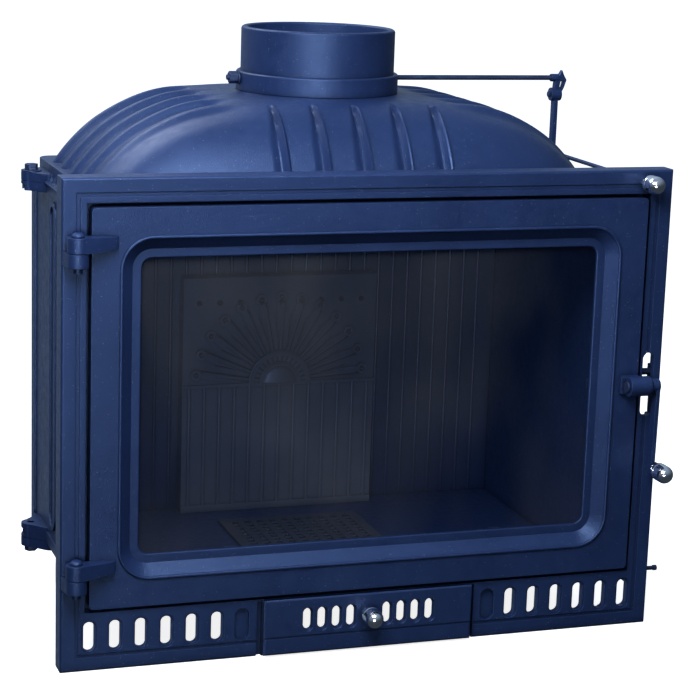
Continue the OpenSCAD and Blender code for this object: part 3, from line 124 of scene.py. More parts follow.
class DetailSettings(bpy.types.PropertyGroup):
    knob_steps: IntProperty(
        name="Knob steps", description="Facets round each polished knob",
        min=24, max=128, default=72)
    rope_steps: IntProperty(
        name="Rope steps", description="Rings along the door's rope seal",
        min=200, max=1600, default=900)
    rays: IntProperty(
        name="Fan rays", description="Rays in the fireback's fan",
        min=7, max=21, default=13)


class StudioSettings(bpy.types.PropertyGroup):
    floor_colour: FloatVectorProperty(
        name="Floor colour", description="Colour of the studio floor",
        default=(0.95, 0.95, 0.95), **COLOUR)
    sky: FloatProperty(
        name="Room light", description="Strength of the room's light on its bright side",
        min=0.0, max=5.0, default=0.42)
    dim_side: FloatProperty(
        name="Dim side", description="Share of that light on the room's other side",
        subtype="FACTOR", min=0.0, max=1.0, default=0.14)
    bright_side: FloatVectorProperty(
        name="Bright side", description="Direction that most of the room's light comes from",
        subtype="DIRECTION", size=3, default=(-0.22, -0.05, 0.97))
    key: FloatProperty(
        name="Key light", description="Power of the lamp above the left of the plate",
        unit="POWER", min=0.0, max=2000.0, default=17.0)
    fill: FloatProperty(
        name="Front light", description="Power of the lamp beside the camera",
        unit="POWER", min=0.0, max=2000.0, default=40.0)
    rim: FloatProperty(
        name="Back light", description="Power of the lamp behind the hood's left side",
        unit="POWER", min=0.0, max=2000.0, default=14.0)
    backdrop: FloatProperty(
        name="Backdrop", description="Brightness of the room behind the insert",
        min=0.0, max=4.0, default=0.32)
    floor_glow: FloatProperty(
        name="Floor glow", description="Light that the floor gives off, so that it stays pale",
        min=0.0, max=1.0, default=0.86)
    show_floor: BoolProperty(
        name="Floor", description="Lays the pale floor under the insert", default=True)


# Materials

MIX_FACTOR, MIX_A, MIX_B, MIX_RESULT = 0, 6, 7, 2  # a mix node's sockets for colours


class Nodes:
    """Short ways to place and join the nodes of one tree."""

    def __init__(self, tree):
        self.tree = tree
        tree.nodes.clear()
        self.place = self.add("ShaderNodeTexCoord")

    def add(self, kind, **values):
        made = self.tree.nodes.new(kind)
        for key, value in values.items():
            setattr(made, key, value)
        return made

    def join(self, a, out, b, into):
        self.tree.links.new(a.outputs[out], b.inputs[into])

    def set(self, node, **values):
        for key, value in values.items():
            node.inputs[key.replace("_", " ")].default_value = value
        return node

    def mapping(self, scale=(1, 1, 1), turn=(0, 0, 0)):
        made = self.add("ShaderNodeMapping")
        made.inputs["Scale"].default_value = scale
        made.inputs["Rotation"].default_value = turn
        self.join(self.place, "Object", made, "Vector")
        return made

    def noise(self, scale, detail=4.0, rough=0.55, source=None):
        made = self.add("ShaderNodeTexNoise")
        self.set(made, Scale=scale, Detail=detail, Roughness=rough)
        if source is None:
            self.join(self.place, "Object", made, "Vector")
        else:
            self.join(source, "Vector", made, "Vector")
        return made

    def ramp(self, source, out, stops):
        made = self.add("ShaderNodeValToRGB")
        ramp = made.color_ramp
        while len(ramp.elements) < len(stops):
            ramp.elements.new(0.5)
        for element, (position, colour) in zip(ramp.elements, stops):
            element.position = position
            element.color = (*colour, 1.0) if len(colour) == 3 else colour
        self.join(source, out, made, "Fac")
        return made

    def range(self, source, out, low, high, start=0.0, end=1.0):
        made = self.add("ShaderNodeMapRange")
        self.set(made, From_Min=start, From_Max=end, To_Min=low, To_Max=high)
        self.join(source, out, made, "Value")
        return made

    def combine(self, operation, *terms):
        made = self.add("ShaderNodeMath", operation=operation)
        for socket, (source, out) in enumerate(terms):
            self.join(source, out, made, socket)
        return made

    def bump(self, source, out, depth, strength=1.0, under=None):
        made = self.add("ShaderNodeBump")
        self.set(made, Strength=strength, Distance=depth)
        self.join(source, out, made, "Height")
        if under is not None:
            self.join(under, "Normal", made, "Normal")
        return made


class Finish(Nodes):
    """A material with one principled shader."""

    def __init__(self, name):
        self.material = bpy.data.materials.get(name) or bpy.data.materials.new(name)
        self.material.use_nodes = True
        super().__init__(self.material.node_tree)
        self.shader = self.add("ShaderNodeBsdfPrincipled")
        self.join(self.shader, "BSDF", self.add("ShaderNodeOutputMaterial"), "Surface")

    def feed(self, source, out, socket):
        self.join(source, out, self.shader, socket)


def painted_iron(name, tint=None):
    """Satin paint over sand-cast iron: patchy tone, fine grain and a few bright specks, with
    painted shade: an ambient-occlusion node darkens the colour in gaps, hollows and under parts.
    """
    paint = bpy.context.scene.insert_paint
    rough = 0.37
    n = Finish(name)
    light, dark = (tuple(shade) for shade in tint or (paint.colour, paint.shade))
    patches = n.ramp(n.noise(9.0, detail=3.0), "Fac", [(0.30, dark), (0.72, light)])
    cells = n.add("ShaderNodeTexVoronoi", feature="F1")
    n.set(cells, Scale=350.0, Randomness=1.0)
    n.join(n.place, "Object", cells, "Vector")
    near = n.range(cells, "Distance", 1.0, 0.0, start=0.06, end=0.12)
    chosen = n.add("ShaderNodeSeparateColor")
    n.join(cells, "Color", chosen, "Color")
    lucky = n.range(chosen, "Red", 0.0, 1.0, start=0.60, end=0.84)
    speck = n.combine("MULTIPLY", (near, "Result"), (lucky, "Result"))
    dotted = n.add("ShaderNodeMix", data_type="RGBA")
    n.join(speck, "Value", dotted, MIX_FACTOR)
    n.join(patches, "Color", dotted, MIX_A)
    dotted.inputs[MIX_B].default_value = (*paint.speck, 1.0)
    # Painted shade: the colour is darkened where ambient occlusion finds nearby surfaces, standing
    # in for the shade in gaps and recesses
    painted_shade_ao = n.add("ShaderNodeAmbientOcclusion", samples=6)
    n.set(painted_shade_ao, Distance=paint.painted_shade_width)
    painted_shade_factor = n.range(painted_shade_ao, "AO", 0.26, 1.0, start=0.25, end=0.95)
    colour_with_painted_shade = n.add("ShaderNodeMix", data_type="RGBA", blend_type="MULTIPLY")
    colour_with_painted_shade.inputs[MIX_FACTOR].default_value = 1.0
    n.join(dotted, MIX_RESULT, colour_with_painted_shade, MIX_A)
    n.join(painted_shade_factor, "Result", colour_with_painted_shade, MIX_B)
    n.feed(colour_with_painted_shade, MIX_RESULT, "Base Color")
    rolls = n.bump(n.noise(75.0, detail=2.0), "Fac", 0.00022, 0.55)
    grain = n.noise(1.0 / paint.grain, detail=5.0, rough=0.6)
    n.feed(n.bump(grain, "Fac", paint.grain_depth, 0.8, under=rolls), "Normal", "Normal")
    sheen = n.noise(120.0, detail=3.0)
    roughness = n.range(sheen, "Fac", rough - 0.07, rough + 0.09, start=0.3, end=0.7)
    n.feed(roughness, "Result", "Roughness")
    n.set(n.shader, Metallic=0.0, Specular_IOR_Level=0.75,
          Specular_Tint=(*paint.gloss_tint, 1.0))
    return n.material


def black_steel(name):
    """Blackened steel with faint drawing marks."""
    rough = 0.42
    n = Finish(name)
    marks = n.noise(60.0, detail=4.0, source=n.mapping(scale=(1.0, 9.0, 9.0)))
    tint = n.ramp(marks, "Fac", [(0.3, (0.020, 0.034, 0.088)), (0.75, (0.056, 0.082, 0.175))])
    n.feed(tint, "Color", "Base Color")
    roughness = n.range(marks, "Fac", rough - 0.08, rough + 0.12, start=0.3, end=0.7)
    n.feed(roughness, "Result", "Roughness")
    n.feed(n.bump(marks, "Fac", 0.00006, 0.6), "Normal", "Normal")
    n.set(n.shader, Metallic=0.55, Specular_Tint=(0.6, 0.75, 1.0, 1.0))
    return n.material


def polished_steel(name):
    """Bright steel with the marks that turning leaves round it."""
    n = Finish(name)
    rings = n.add("ShaderNodeTexWave", wave_type="BANDS", bands_direction="Y")
    n.set(rings, Scale=240.0, Distortion=1.5, Detail=2.0)
    n.join(n.place, "Object", rings, "Vector")
    haze = n.noise(160.0, detail=3.0)
    tint = n.ramp(haze, "Fac", [(0.3, (0.78, 0.79, 0.84)), (0.7, (0.93, 0.94, 0.97))])
    n.feed(tint, "Color", "Base Color")
    n.feed(n.range(haze, "Fac", 0.10, 0.19, start=0.35, end=0.7), "Result", "Roughness")
    n.feed(n.bump(rings, "Fac", 0.000012, 0.5), "Normal", "Normal")
    n.set(n.shader, Metallic=1.0)
    return n.material


def smoked_glass(name):
    """Dark ceramic glass that the firebox shows through, with painted reflection: a grey haze in
    streaks, lighter towards the left.
    """
    n = Finish(name)
    streaks = n.noise(4.2, detail=3.0, source=n.mapping(scale=(1.0, 1.0, 0.55)))
    across = n.add("ShaderNodeSeparateXYZ")
    n.join(n.place, "Object", across, "Vector")
    # Painted reflection: the glass colour is made lighter towards its left, where the room's light
    # reflects in it
    painted_reflection_lean = n.range(across, "X", 0.10, -0.10, start=-0.25, end=0.25)
    haze = n.combine("ADD", (streaks, "Fac"), (painted_reflection_lean, "Result"))
    # The glass colour runs from its own dark tint to grey; the grey is partly the glass's smoky
    # haze and partly painted reflection of the room
    tint = n.ramp(haze, "Value", [(0.36, (0.004, 0.012, 0.045)), (0.68, (0.120, 0.128, 0.142))])
    n.feed(tint, "Color", "Base Color")
    n.feed(n.range(streaks, "Fac", 0.02, 0.07, start=0.3, end=0.7), "Result", "Roughness")
    n.feed(n.bump(n.noise(3.0, detail=1.0), "Fac", 0.0006, 0.15), "Normal", "Normal")
    n.set(n.shader, Alpha=0.15, Specular_IOR_Level=0.6, Specular_Tint=(0.75, 0.85, 1.0, 1.0))
    return n.material


def glass_rope(name):
    """Grey glass-fibre rope and tape, woven in small diagonals."""
    n = Finish(name)
    waves = []
    for source, out in ((n.place, "Object"), (n.mapping(turn=(0.0, math.pi / 2, 0.0)), "Vector")):
        wave = n.add("ShaderNodeTexWave", wave_type="BANDS", bands_direction="DIAGONAL")
        n.set(wave, Scale=170.0, Distortion=2.0, Detail=2.0)
        n.join(source, out, wave, "Vector")
        waves.append((wave, "Fac"))
    weave = n.combine("MULTIPLY", *waves)
    tint = n.ramp(weave, "Value", [(0.0, (0.05, 0.06, 0.08)), (0.8, (0.20, 0.21, 0.24))])
    n.feed(tint, "Color", "Base Color")
    n.feed(n.bump(weave, "Value", 0.0005, 0.8), "Normal", "Normal")
    n.set(n.shader, Roughness=0.92, Sheen_Weight=0.3)
    return n.material


IRON_TINTS = {  # light and dark tone; the outside takes the paint settings' own
    "cast_iron": None,
    # The fired tone is greyer, and it is also painted far lighter than the outside paint: painted
    # light that stands in for the light the firebox behind the glass lacks
    "fired_iron_painted_lighter": ((0.150, 0.172, 0.235), (0.088, 0.108, 0.160)),
    "ashy_iron": ((0.048, 0.056, 0.078), (0.026, 0.033, 0.050)),
}
MAKERS = {
    "dark_steel": black_steel, "polished_steel": polished_steel,
    "smoked_glass": smoked_glass, "sealing_rope": glass_rope,
}
# The frame's own materials of these names are rebuilt, so their blending and culling stay
REBUILT = ("polished_steel", "smoked_glass")


def finish_of(slot):
    """The material that carries one of the record's finishes, or a fired look of one, which for
    the firebox panel is painted lighter as painted light.
    """
    name = f"insert_{slot}"
    made = bpy.data.materials.get(name)
    if made is None:
        if slot in IRON_TINTS:
            made = painted_iron(name, IRON_TINTS[slot])
        else:
            made = MAKERS[slot](slot if slot in REBUILT else name)
        made.name = name
    return made


# Shaping

def everything(bm):
    return bm.verts[:] + bm.edges[:] + bm.faces[:]


def bevel(bm, edges, width, steps):
    bmesh.ops.bevel(
        bm, geom=edges, offset=width, offset_type="OFFSET", affect="EDGES",
        segments=steps, profile=0.5, material=-1, clamp_overlap=False)


def add_box(bm, size, middle):
    """Adds a box and returns its corners."""
    box = bmesh.ops.create_cube(bm, size=1.0)["verts"]
    bmesh.ops.scale(bm, verts=box, vec=size)
    bmesh.ops.translate(bm, verts=box, vec=middle)
    return box


def new_object(name, data):
    made = bpy.data.objects.new(name, data)
    bpy.context.scene.collection.objects.link(made)
    return made


def mesh_object(name, bm):
    """A new object with a bmesh's shape. The bmesh is used up."""
    mesh = bpy.data.meshes.new(name)
    bm.to_mesh(mesh)
    bm.free()
    return new_object(name, mesh)


def shade(bm, sharp):
    """Smooth faces, with edges sharper than an angle kept sharp."""
    bm.normal_update()
    for face in bm.faces:
        face.smooth = True
    for edge in bm.edges:
        edge.smooth = len(edge.link_faces) == 2 and edge.calc_face_angle(0.0) < math.radians(sharp)


def place_piece(bm, name, body, slot, replaces=(), sharp=32.0, even=True, finish=None):
    """Turns a bmesh into a finished piece that rides on a body."""
    shade(bm, sharp)
    piece = mesh_object(name, bm)
    piece.data.materials.append(finish_of(finish or slot))
    if even:
        normals = piece.modifiers.new("even_shading", "WEIGHTED_NORMAL")
        normals.keep_sharp = True
        normals.weight = 80
    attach(piece, body)
    if replaces:
        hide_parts(*replaces)
    return piece


def body_of_node(node):
    return next(b for b, ns in frame["record"]["behaviour"]["bodies"].items() if node in ns)


def slot_of_node(node):
    return next(s["material_slot"] for s in frame["record"]["subparts"] if s["node"] == node)


def welded(node):
    """The node's mesh as a bmesh with its doubles merged."""
    bm = bmesh.new()
    bm.from_mesh(frame["nodes"][node].data)
    bmesh.ops.remove_doubles(bm, verts=bm.verts, dist=DOUBLES)
    return bm


def flat_joined(bm):
    """The same bmesh, with faces that lie in one plane made one."""
    bmesh.ops.dissolve_limit(
        bm, angle_limit=math.radians(0.4), use_dissolve_boundaries=False,
        verts=bm.verts, edges=bm.edges, delimit={"NORMAL"})
    return bm


def crossings(face):
    """Points where a face's outline crosses itself."""
    flat = face.normal.to_track_quat("Z", "Y").to_matrix().inverted()
    points = [v.co for v in face.verts]
    plan = [(flat @ p).to_2d() for p in points]
    n = len(plan)
    return [
        points[i].copy() for i in range(n) for j in range(i + 2, n)
        if (j + 1) % n != i
        and intersect_line_line_2d(plan[i], plan[(i + 1) % n], plan[j], plan[(j + 1) % n])
    ]


def folded_spots(bm, skin, width):
    """Places where rounding folded a face or threw a corner off the first skin."""
    bm.normal_update()
    off = {v for v in bm.verts if skin.find_nearest(v.co)[3] > 0.75 * width}
    spots = [w.co.copy() for v in off for e in v.link_edges for w in e.verts if w not in off]
    folded = set()
    for corners in bm.calc_loop_triangles():
        a, b, c = (loop.vert.co for loop in corners)
        if (b - a).cross(c - a).dot(corners[0].face.normal) < -1e-10:
            folded.add(corners[0].face)
    for face in folded:
        small = len(face.verts) <= 12
        spots += [face.calc_center_median()] if small else crossings(face)
    return spots


def round_edges(bm, width, steps=2, chosen=None):
    """A copy with its outer edges rounded, leaving sharp those that would fold a face."""
    bm.normal_update()
    skin, spots, reach = BVHTree.FromBMesh(bm), [], 2.5 * width
    last = 7
    for attempt in range(last + 1):
        made = bm.copy()
        edges = [
            e for e in made.edges
            if len(e.link_faces) == 2 and e.is_convex
            and e.calc_face_angle(0.0) > SHARP_EDGE
            and (chosen is None or chosen(e))
            and not any(near_edge(spot, e, reach) for spot in spots)
        ]
        if edges:
            bevel(made, edges, width, steps)
        found = folded_spots(made, skin, width)
        if not found:
            break
        spots += found
        if attempt < last:
            made.free()
    bm.free()
    return made


def near_edge(spot, edge, reach):
    a, b = (v.co for v in edge.verts)
    share = max(0.0, min(1.0, (spot - a).dot(b - a) / max((b - a).length_squared, 1e-12)))
    return (a + (b - a) * share - spot).length < reach


def soft_copy(node, width, steps=2):
    """A casting's own shape with its edges rounded."""
    bm = flat_joined(welded(node))
    if node == "front_plate":
        deepen_blind_slots(bm)
    bm = round_edges(bm, width, steps)
    if node == "front_plate":
        bm = carved(bm, drawer_grooves())
    place_piece(
        bm, f"{node}_cast", body_of_node(node), slot_of_node(node), (node,),
        finish=INSIDE_FINISHES.get(node))


def round_all(context, widths):
    """Rounds each node by its width in millimetres times the edge setting's share."""
    share = context.scene.insert_paint.edge / ROUNDING
    for node, width in widths.items():
        soft_copy(node, width * MM * share)


def carved(bm, cutter):
    """The first bmesh with the second one cut out of it."""
    pieces = [mesh_object("carved", bm), mesh_object("cutter", cutter)]
    cut = pieces[0].modifiers.new("cut", "BOOLEAN")
    cut.operation, cut.solver, cut.object = "DIFFERENCE", "MANIFOLD", pieces[1]
    left = bmesh.new()
    left.from_object(pieces[0], bpy.context.evaluated_depsgraph_get())
    for piece in pieces:
        mesh = piece.data
        bpy.data.objects.remove(piece)
        bpy.data.meshes.remove(mesh)
    return left


def drawer_grooves():
    """Boxes for the gap that the plate leaves on each side of the drawer's front."""
    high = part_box("drawer_front")[1]
    wide, deep, tall = 0.0062, 0.0064, 0.0655
    bm = bmesh.new()
    for side in (-1, 1):
        add_box(bm, (wide, 2 * deep, tall), (side * (high.x + 0.0002), 0, tall / 2 - 0.001))
    return bm


def deepen_blind_slots(bm):
    """Sinks the floor of the plate's two blind slots, so that they read from afar."""
    extra = 0.0027
    for vert in bm.verts:
        x, y, z = abs(vert.co.x), vert.co.y, vert.co.z
        if 0.136 < x < 0.157 and 0.012 < z < 0.064 and 0.0010 < y < 0.0020:
            vert.co.y += extra


def ease(t):
    t = max(0.0, min(1.0, t))
    return t * t * (3 - 2 * t)


# Hood

RIDGE_FIRST, RIDGE_PITCH, RIDGES = 0.0735, 0.0505, 5
HOOD_FRONT, HOOD_BACK = 0.0256, 0.387
FLAT_FRONT, FLAT_BACK = 0.150, 0.318
SCALLOP_START, SCALLOP_FULL = 0.118, 0.165
RIB_PITCH, RIB_TOP = 0.047, 0.120
FLANGE_TOP, DOME_RIM = 0.511, 0.4925
LAST_RIDGE = RIDGE_FIRST + RIDGES * RIDGE_PITCH


def scallop_cut(x, y, depth):
    """How far the scallops cut into the dome: a steep drop in front of each crest,
    a gentle rise to the next one, and crests that stand a little above the dome."""
    if depth == 0.0:
        return 0.0
    side = abs(x)
    reach = ease((side - SCALLOP_START) / (SCALLOP_FULL - SCALLOP_START)) ** 0.6
    crest = 0.0034 * math.exp(-((side - 0.172) / 0.045) ** 2) - 0.0012 * ease((side - 0.24) / 0.04)
    first = RIDGE_FIRST + RIDGE_PITCH
    if y >= LAST_RIDGE:
        return -reach * crest * ease(1 - (y - LAST_RIDGE) / 0.03)
    if y <= RIDGE_FIRST:
        return 0.0
    p = (LAST_RIDGE - y) / RIDGE_PITCH
    p = max(0.0, p - math.floor(p + 1e-9))
    dip = ease(p / 0.24) * (1 - ease((p - 0.10) / 0.90) ** 1.15)
    lip = crest * (1 - dip)
    if y < first:
        lip *= ease((y - RIDGE_FIRST) / RIDGE_PITCH)
        dip *= 0.42 * ease((y - RIDGE_FIRST) / (0.5 * RIDGE_PITCH))
    return reach * (depth * dip - lip)


def dome_height(x, y, hood, depth):
    """Height of the dome: a vault that falls to its sides and to both ends."""
    side_power, end_power, crown_power = 3.94, 2.6, 1 / 1.31
    cut = scallop_cut(x, y, depth)
    side = min(1.0, abs(x) / (hood.half_width - cut)) ** side_power
    end = 0.0
    if y < FLAT_FRONT:
        end = min(1.0, (FLAT_FRONT - y) / (FLAT_FRONT - HOOD_FRONT)) ** end_power
    elif y > FLAT_BACK:
        end = min(1.0, (y - FLAT_BACK) / (HOOD_BACK - FLAT_BACK)) ** end_power
    left = max(0.0, 1.0 - side - end)
    return hood.foot + (hood.top - 0.8 * cut - hood.foot) * left ** crown_power


def dome_slope(x, y, hood):
    """Direction straight out of the dome, with its ridges and ribs left out."""
    step = 0.004
    x = math.copysign(min(abs(x), hood.half_width - 0.008), x)
    y = min(max(y, HOOD_FRONT + 0.006), HOOD_BACK - 0.006)
    plain = [
        dome_height(x + i * step, y + j * step, hood, 0.0)
        for i, j in ((-1, 0), (1, 0), (0, -1), (0, 1))
    ]
    return Vector((plain[0] - plain[1], plain[2] - plain[3], 2 * step)).normalized()


def dome_column(u, half_width):
    """Place across the hood for a share u, denser over the ribs and at the sides."""
    s = 2 * u - 1
    inner, reach = 0.58, 0.115
    if abs(s) <= inner:
        x = reach * abs(s) / inner
    else:
        x = reach + (half_width - reach) * math.sin(math.pi / 2 * (abs(s) - inner) / (1 - inner))
    return math.copysign(x, s)


def dome_row(v):
    """Place along the hood for a share v, denser at both ends, with a row on each ridge."""
    front, middle = 0.25, 0.90
    if v <= front:
        return HOOD_FRONT + (RIDGE_FIRST - HOOD_FRONT) * (v / front) ** 1.6
    if v <= middle:
        q = RIDGES * (v - front) / (middle - front)
        return RIDGE_FIRST + RIDGE_PITCH * (q - 0.13 * math.sin(math.tau * q))
    rest = (v - middle) / (1 - middle)
    return LAST_RIDGE + (HOOD_BACK - LAST_RIDGE) * (1 - (1 - rest) ** 1.7)


def rib_height(x, y, height):
    """Height of the front ribs above the dome: a groove on the left, then a sharp crest."""
    t = ease((RIB_TOP - y) / 0.022) * ease((y - HOOD_FRONT - 0.001) / 0.007)
    if t <= 0.0:
        return 0.0
    wide = 0.006 + 0.011 * ease((RIB_TOP - y) / 0.06)
    rise, fall = 0.40 * wide, 0.0032
    total = 0.0
    for i in range(-2, 3):
        u = x - (i * RIB_PITCH + 0.0025)
        if -wide < u <= -rise:
            total -= 0.55 * ease((u + wide) / (wide - rise))
        elif -rise < u <= 0:
            total += -0.55 + 1.55 * (1 + u / rise) ** 1.6
        elif 0 < u < fall:
            total += 1 - ease(u / fall)
    return height * t * total


class INSERT_OT_hood(bpy.types.Operator):
    """Shapes the vaulted hood with its ribs, scallops and flange"""
    bl_idname = "insert.hood"
    bl_label = "Hood"

    def execute(self, context):
        hood = context.scene.insert_hood
        dome = self.dome(hood)
        flange = welded("hood")
        bmesh.ops.bisect_plane(
            flange, geom=everything(flange), plane_co=(0, 0, FLANGE_TOP + 0.0003),
            plane_no=(0, 0, 1), clear_outer=True)
        rim = [e for e in flange.edges if e.is_boundary]
        bmesh.ops.triangle_fill(flange, edges=rim, use_beauty=True, normal=(0, 0, 1))
        flange = round_edges(
            flat_joined(flange), 0.0012,
            chosen=lambda e: all(v.co.z < FLANGE_TOP + 0.0001 for v in e.verts))
        place_piece(flange, "hood_flange", "firebox", "cast_iron", ("hood",))
        if dome.dimensions.x < 0.5:
            raise RuntimeError("the hood came out too small")
        return {"FINISHED"}

    def dome(self, hood):
        """The dome with its walls, open under the collar."""
        low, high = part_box("flue_collar")
        collar = (low + high) / 2
        pad = (high.x - low.x) / 2 + 0.002
        hole = pad - 0.0126
        bm = bmesh.new()
        columns, rows = 220, 161
        bmesh.ops.create_grid(bm, x_segments=columns, y_segments=rows, size=0.5)
        xs = [v.co.x for v in bm.verts]
        ys = [v.co.y for v in bm.verts]
        x0, x1, y0, y1 = min(xs), max(xs), min(ys), max(ys)
        for v in bm.verts:
            v.co.x = dome_column((v.co.x - x0) / (x1 - x0), hood.half_width)
            v.co.y = dome_row((v.co.y - y0) / (y1 - y0))
            v.co.z = max(DOME_RIM, dome_height(v.co.x, v.co.y, hood, hood.scallop))
        bm.normal_update()
        if sum(f.normal.z for f in bm.faces) < 0:
            bmesh.ops.reverse_faces(bm, faces=bm.faces)
            bm.normal_update()
        moves = {v: v.normal * rib_height(v.co.x, v.co.y, hood.rib) for v in bm.verts}
        for v, move in moves.items():
            v.co += move
            v.co.y = max(v.co.y, HOOD_FRONT - 0.0018)
            r = math.hypot(v.co.x - collar.x, v.co.y - collar.y)
            lift = ease((pad + 0.006 - r) / 0.008)
            if lift > 0:
                v.co.z += (hood.top + 0.0001 - v.co.z) * lift
        sunk = [f for f in bm.faces if all(v.co.z < DOME_RIM + 0.0001 for v in f.verts)]
        bmesh.ops.delete(bm, geom=sunk, context="FACES")
        inside = [
            f for f in bm.faces
            if math.hypot(f.calc_center_median().x - collar.x,
                          f.calc_center_median().y - collar.y) < hole
        ]
        bmesh.ops.delete(bm, geom=inside, context="FACES")
        for v in [v for v in bm.verts if v.is_boundary]:
            dx, dy = v.co.x - collar.x, v.co.y - collar.y
            r = math.hypot(dx, dy)
            if r < hole + 0.006:
                v.co.x, v.co.y = collar.x + dx * hole / r, collar.y + dy * hole / r
        made = bmesh.ops.extrude_face_region(bm, geom=bm.faces[:], use_keep_orig=True)
        for v in [v for v in made["geom"] if isinstance(v, bmesh.types.BMVert)]:
            v.co -= dome_slope(v.co.x, v.co.y, hood) * hood.wall
        bmesh.ops.recalc_face_normals(bm, faces=bm.faces)
        return place_piece(
            bm, "hood_dome", "firebox", "cast_iron", ("hood",), sharp=26.0, even=False)


# Castings

# Finishes that differ from the record's (the panel's is painted lighter, as painted light in the
# dim firebox), then the width of each node's rounding in mm
INSIDE_FINISHES = {"fireback_panel": "fired_iron_painted_lighter", "panel_bolts": "fired_iron_painted_lighter", "grate": "ashy_iron"}
CASTINGS = {
    "front_plate": 0.9, "base_plate": 1.0, "left_side_wall": 1.0, "right_side_wall": 1.0,
    "back_wall": 0.6, "fireback_panel": 0.5, "grate": 0.8, "smoke_baffle": 0.8,
    "flue_collar": 0.7, "rear_feet": 1.0,
}
DOOR_CASTINGS = {"door_frame": 0.8, "door_hinge_straps": 0.9, "latch_bracket": 0.8}
MOVING_CASTINGS = {
    "latch_lever": 0.7, "latch_hook": 0.4, "damper_crank": 0.7,
    "damper_arm": 0.5, "damper_disc": 0.25,
}
HARDWARE = {
    "flange_bolts": 0.5, "flange_washers": 0.3, "flange_nuts": 0.4, "plate_bolts": 0.5,
    "back_wall_bolts": 0.4, "collar_bolts": 0.3, "panel_bolts": 0.4, "hinge_pins": 0.3,
    "glass_clips": 0.3, "glass_clip_screws": 0.4, "damper_washer": 0.3, "damper_nut": 0.5,
    "clamp_screw": 0.3, "latch_shaft": 0.4, "pull_rod_pin": 0.3,
}


class INSERT_OT_castings(bpy.types.Operator):
    """Rounds the edges of the firebox castings and the front plate"""
    bl_idname = "insert.castings"
    bl_label = "Castings"

    def execute(self, context):
        round_all(context, CASTINGS)
        return {"FINISHED"}


class INSERT_OT_door(bpy.types.Operator):
    """Rounds the door's frame, straps and latch bracket, and glazes it"""
    bl_idname = "insert.door"
    bl_label = "Door"

    def execute(self, context):
        round_all(context, DOOR_CASTINGS)
        soft_copy("door_glass", 0.0006)
        return {"FINISHED"}


class INSERT_OT_drawer(bpy.types.Operator):
    """Rounds the drawer's front and cuts its back clear of the plate"""
    bl_idname = "insert.drawer"
    bl_label = "Drawer"

    def execute(self, context):
        bm = flat_joined(welded("drawer_front"))
        low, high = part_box("drawer_front")
        gap, chamfer, taper, undercut = 0.0024, 0.0034, 0.0018, 0.0034
        top_gap, cut_off = 1.4 * gap, 0.0026
        behind_y = high.y - 0.0030  # corners further back than this are the back's
        cut = bmesh.ops.bisect_plane(
            bm, geom=everything(bm), plane_co=(0, high.y - cut_off, 0), plane_no=(0, 1, 0),
            clear_outer=True)
        rims = [e for e in cut["geom_cut"] if isinstance(e, bmesh.types.BMEdge)]
        bmesh.ops.triangle_fill(bm, edges=rims, use_beauty=True, normal=(0, 1, 0))
        for vert in bm.verts:
            behind = undercut if vert.co.y > behind_y else 0.0
            if abs(vert.co.x) > high.x - 0.006:
                vert.co.x -= math.copysign(gap + behind, vert.co.x)
            if vert.co.z > high.z - 0.004:
                vert.co.z -= top_gap + behind
        inner = sorted(
            (v for v in bm.verts if v.co.y > behind_y and abs(v.co.x) < high.x - 0.010
             and low.z + 0.008 < v.co.z < high.z - 0.010), key=lambda v: v.co.x)
        slots = []
        for vert in inner:
            if not slots or vert.co.x - slots[-1][-1].co.x > 0.0026:
                slots.append([])
            slots[-1].append(vert)
        for slot in slots:
            centre = sum((v.co for v in slot), Vector()) / len(slot)
            for vert in slot:
                away = vert.co - centre
                vert.co.x -= math.copysign(min(taper, abs(away.x)), away.x)
                vert.co.z -= math.copysign(min(taper, abs(away.z)), away.z)
        rim = [
            e for e in bm.edges if all(v.co.y < low.y + 0.0003 for v in e.verts) and (
                all(abs(v.co.x) > high.x - gap - 0.0004 for v in e.verts)
                or all(v.co.z > high.z - top_gap - 0.0004 for v in e.verts))]
        bevel(bm, rim, chamfer, 1)
        for vert in bm.verts:
            if low.y + 0.0005 < vert.co.y < low.y + chamfer + 0.0005:
                vert.co.y = low.y + 0.0012
        bmesh.ops.recalc_face_normals(bm, faces=bm.faces)
        bm = round_edges(bm, 0.0006)
        place_piece(bm, "drawer_front_cast", "drawer", "cast_iron", ("drawer_front",))
        return {"FINISHED"}


class INSERT_OT_grate(bpy.types.Operator):
    """Lays cross bars in the grate's slots, which give it its dotted look"""
    bl_idname = "insert.grate"
    bl_label = "Grate"

    def execute(self, context):
        low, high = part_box("grate")
        bars, margin = 8, 0.016
        bm = bmesh.new()
        for i in range(bars):
            y = low.y + margin + (high.y - low.y - 2 * margin) * (i + 0.5) / bars
            add_box(bm, (high.x - low.x - 0.012, 0.0058, 0.0042), (0, y, high.z - 0.0027))
        bevel(bm, bm.edges[:], 0.0012, 3)
        place_piece(bm, "grate_bars", "firebox", "cast_iron", finish="ashy_iron")
        return {"FINISHED"}


class INSERT_OT_moving(bpy.types.Operator):
    """Rounds the latch and the damper's linkage"""
    bl_idname = "insert.moving"
    bl_label = "Moving castings"

    def execute(self, context):
        round_all(context, MOVING_CASTINGS)
        return {"FINISHED"}


class INSERT_OT_hardware(bpy.types.Operator):
    """Chamfers the bolts and pins, and gives every remaining node its finish"""
    bl_idname = "insert.hardware"
    bl_label = "Hardware"

    def execute(self, context):
        for node, width in HARDWARE.items():
            soft_copy(node, width * MM, steps=1)
        for node, thing in frame["nodes"].items():
            thing.data.materials.clear()
            thing.data.materials.append(finish_of(slot_of_node(node)))
        return {"FINISHED"}


# Fireback fan

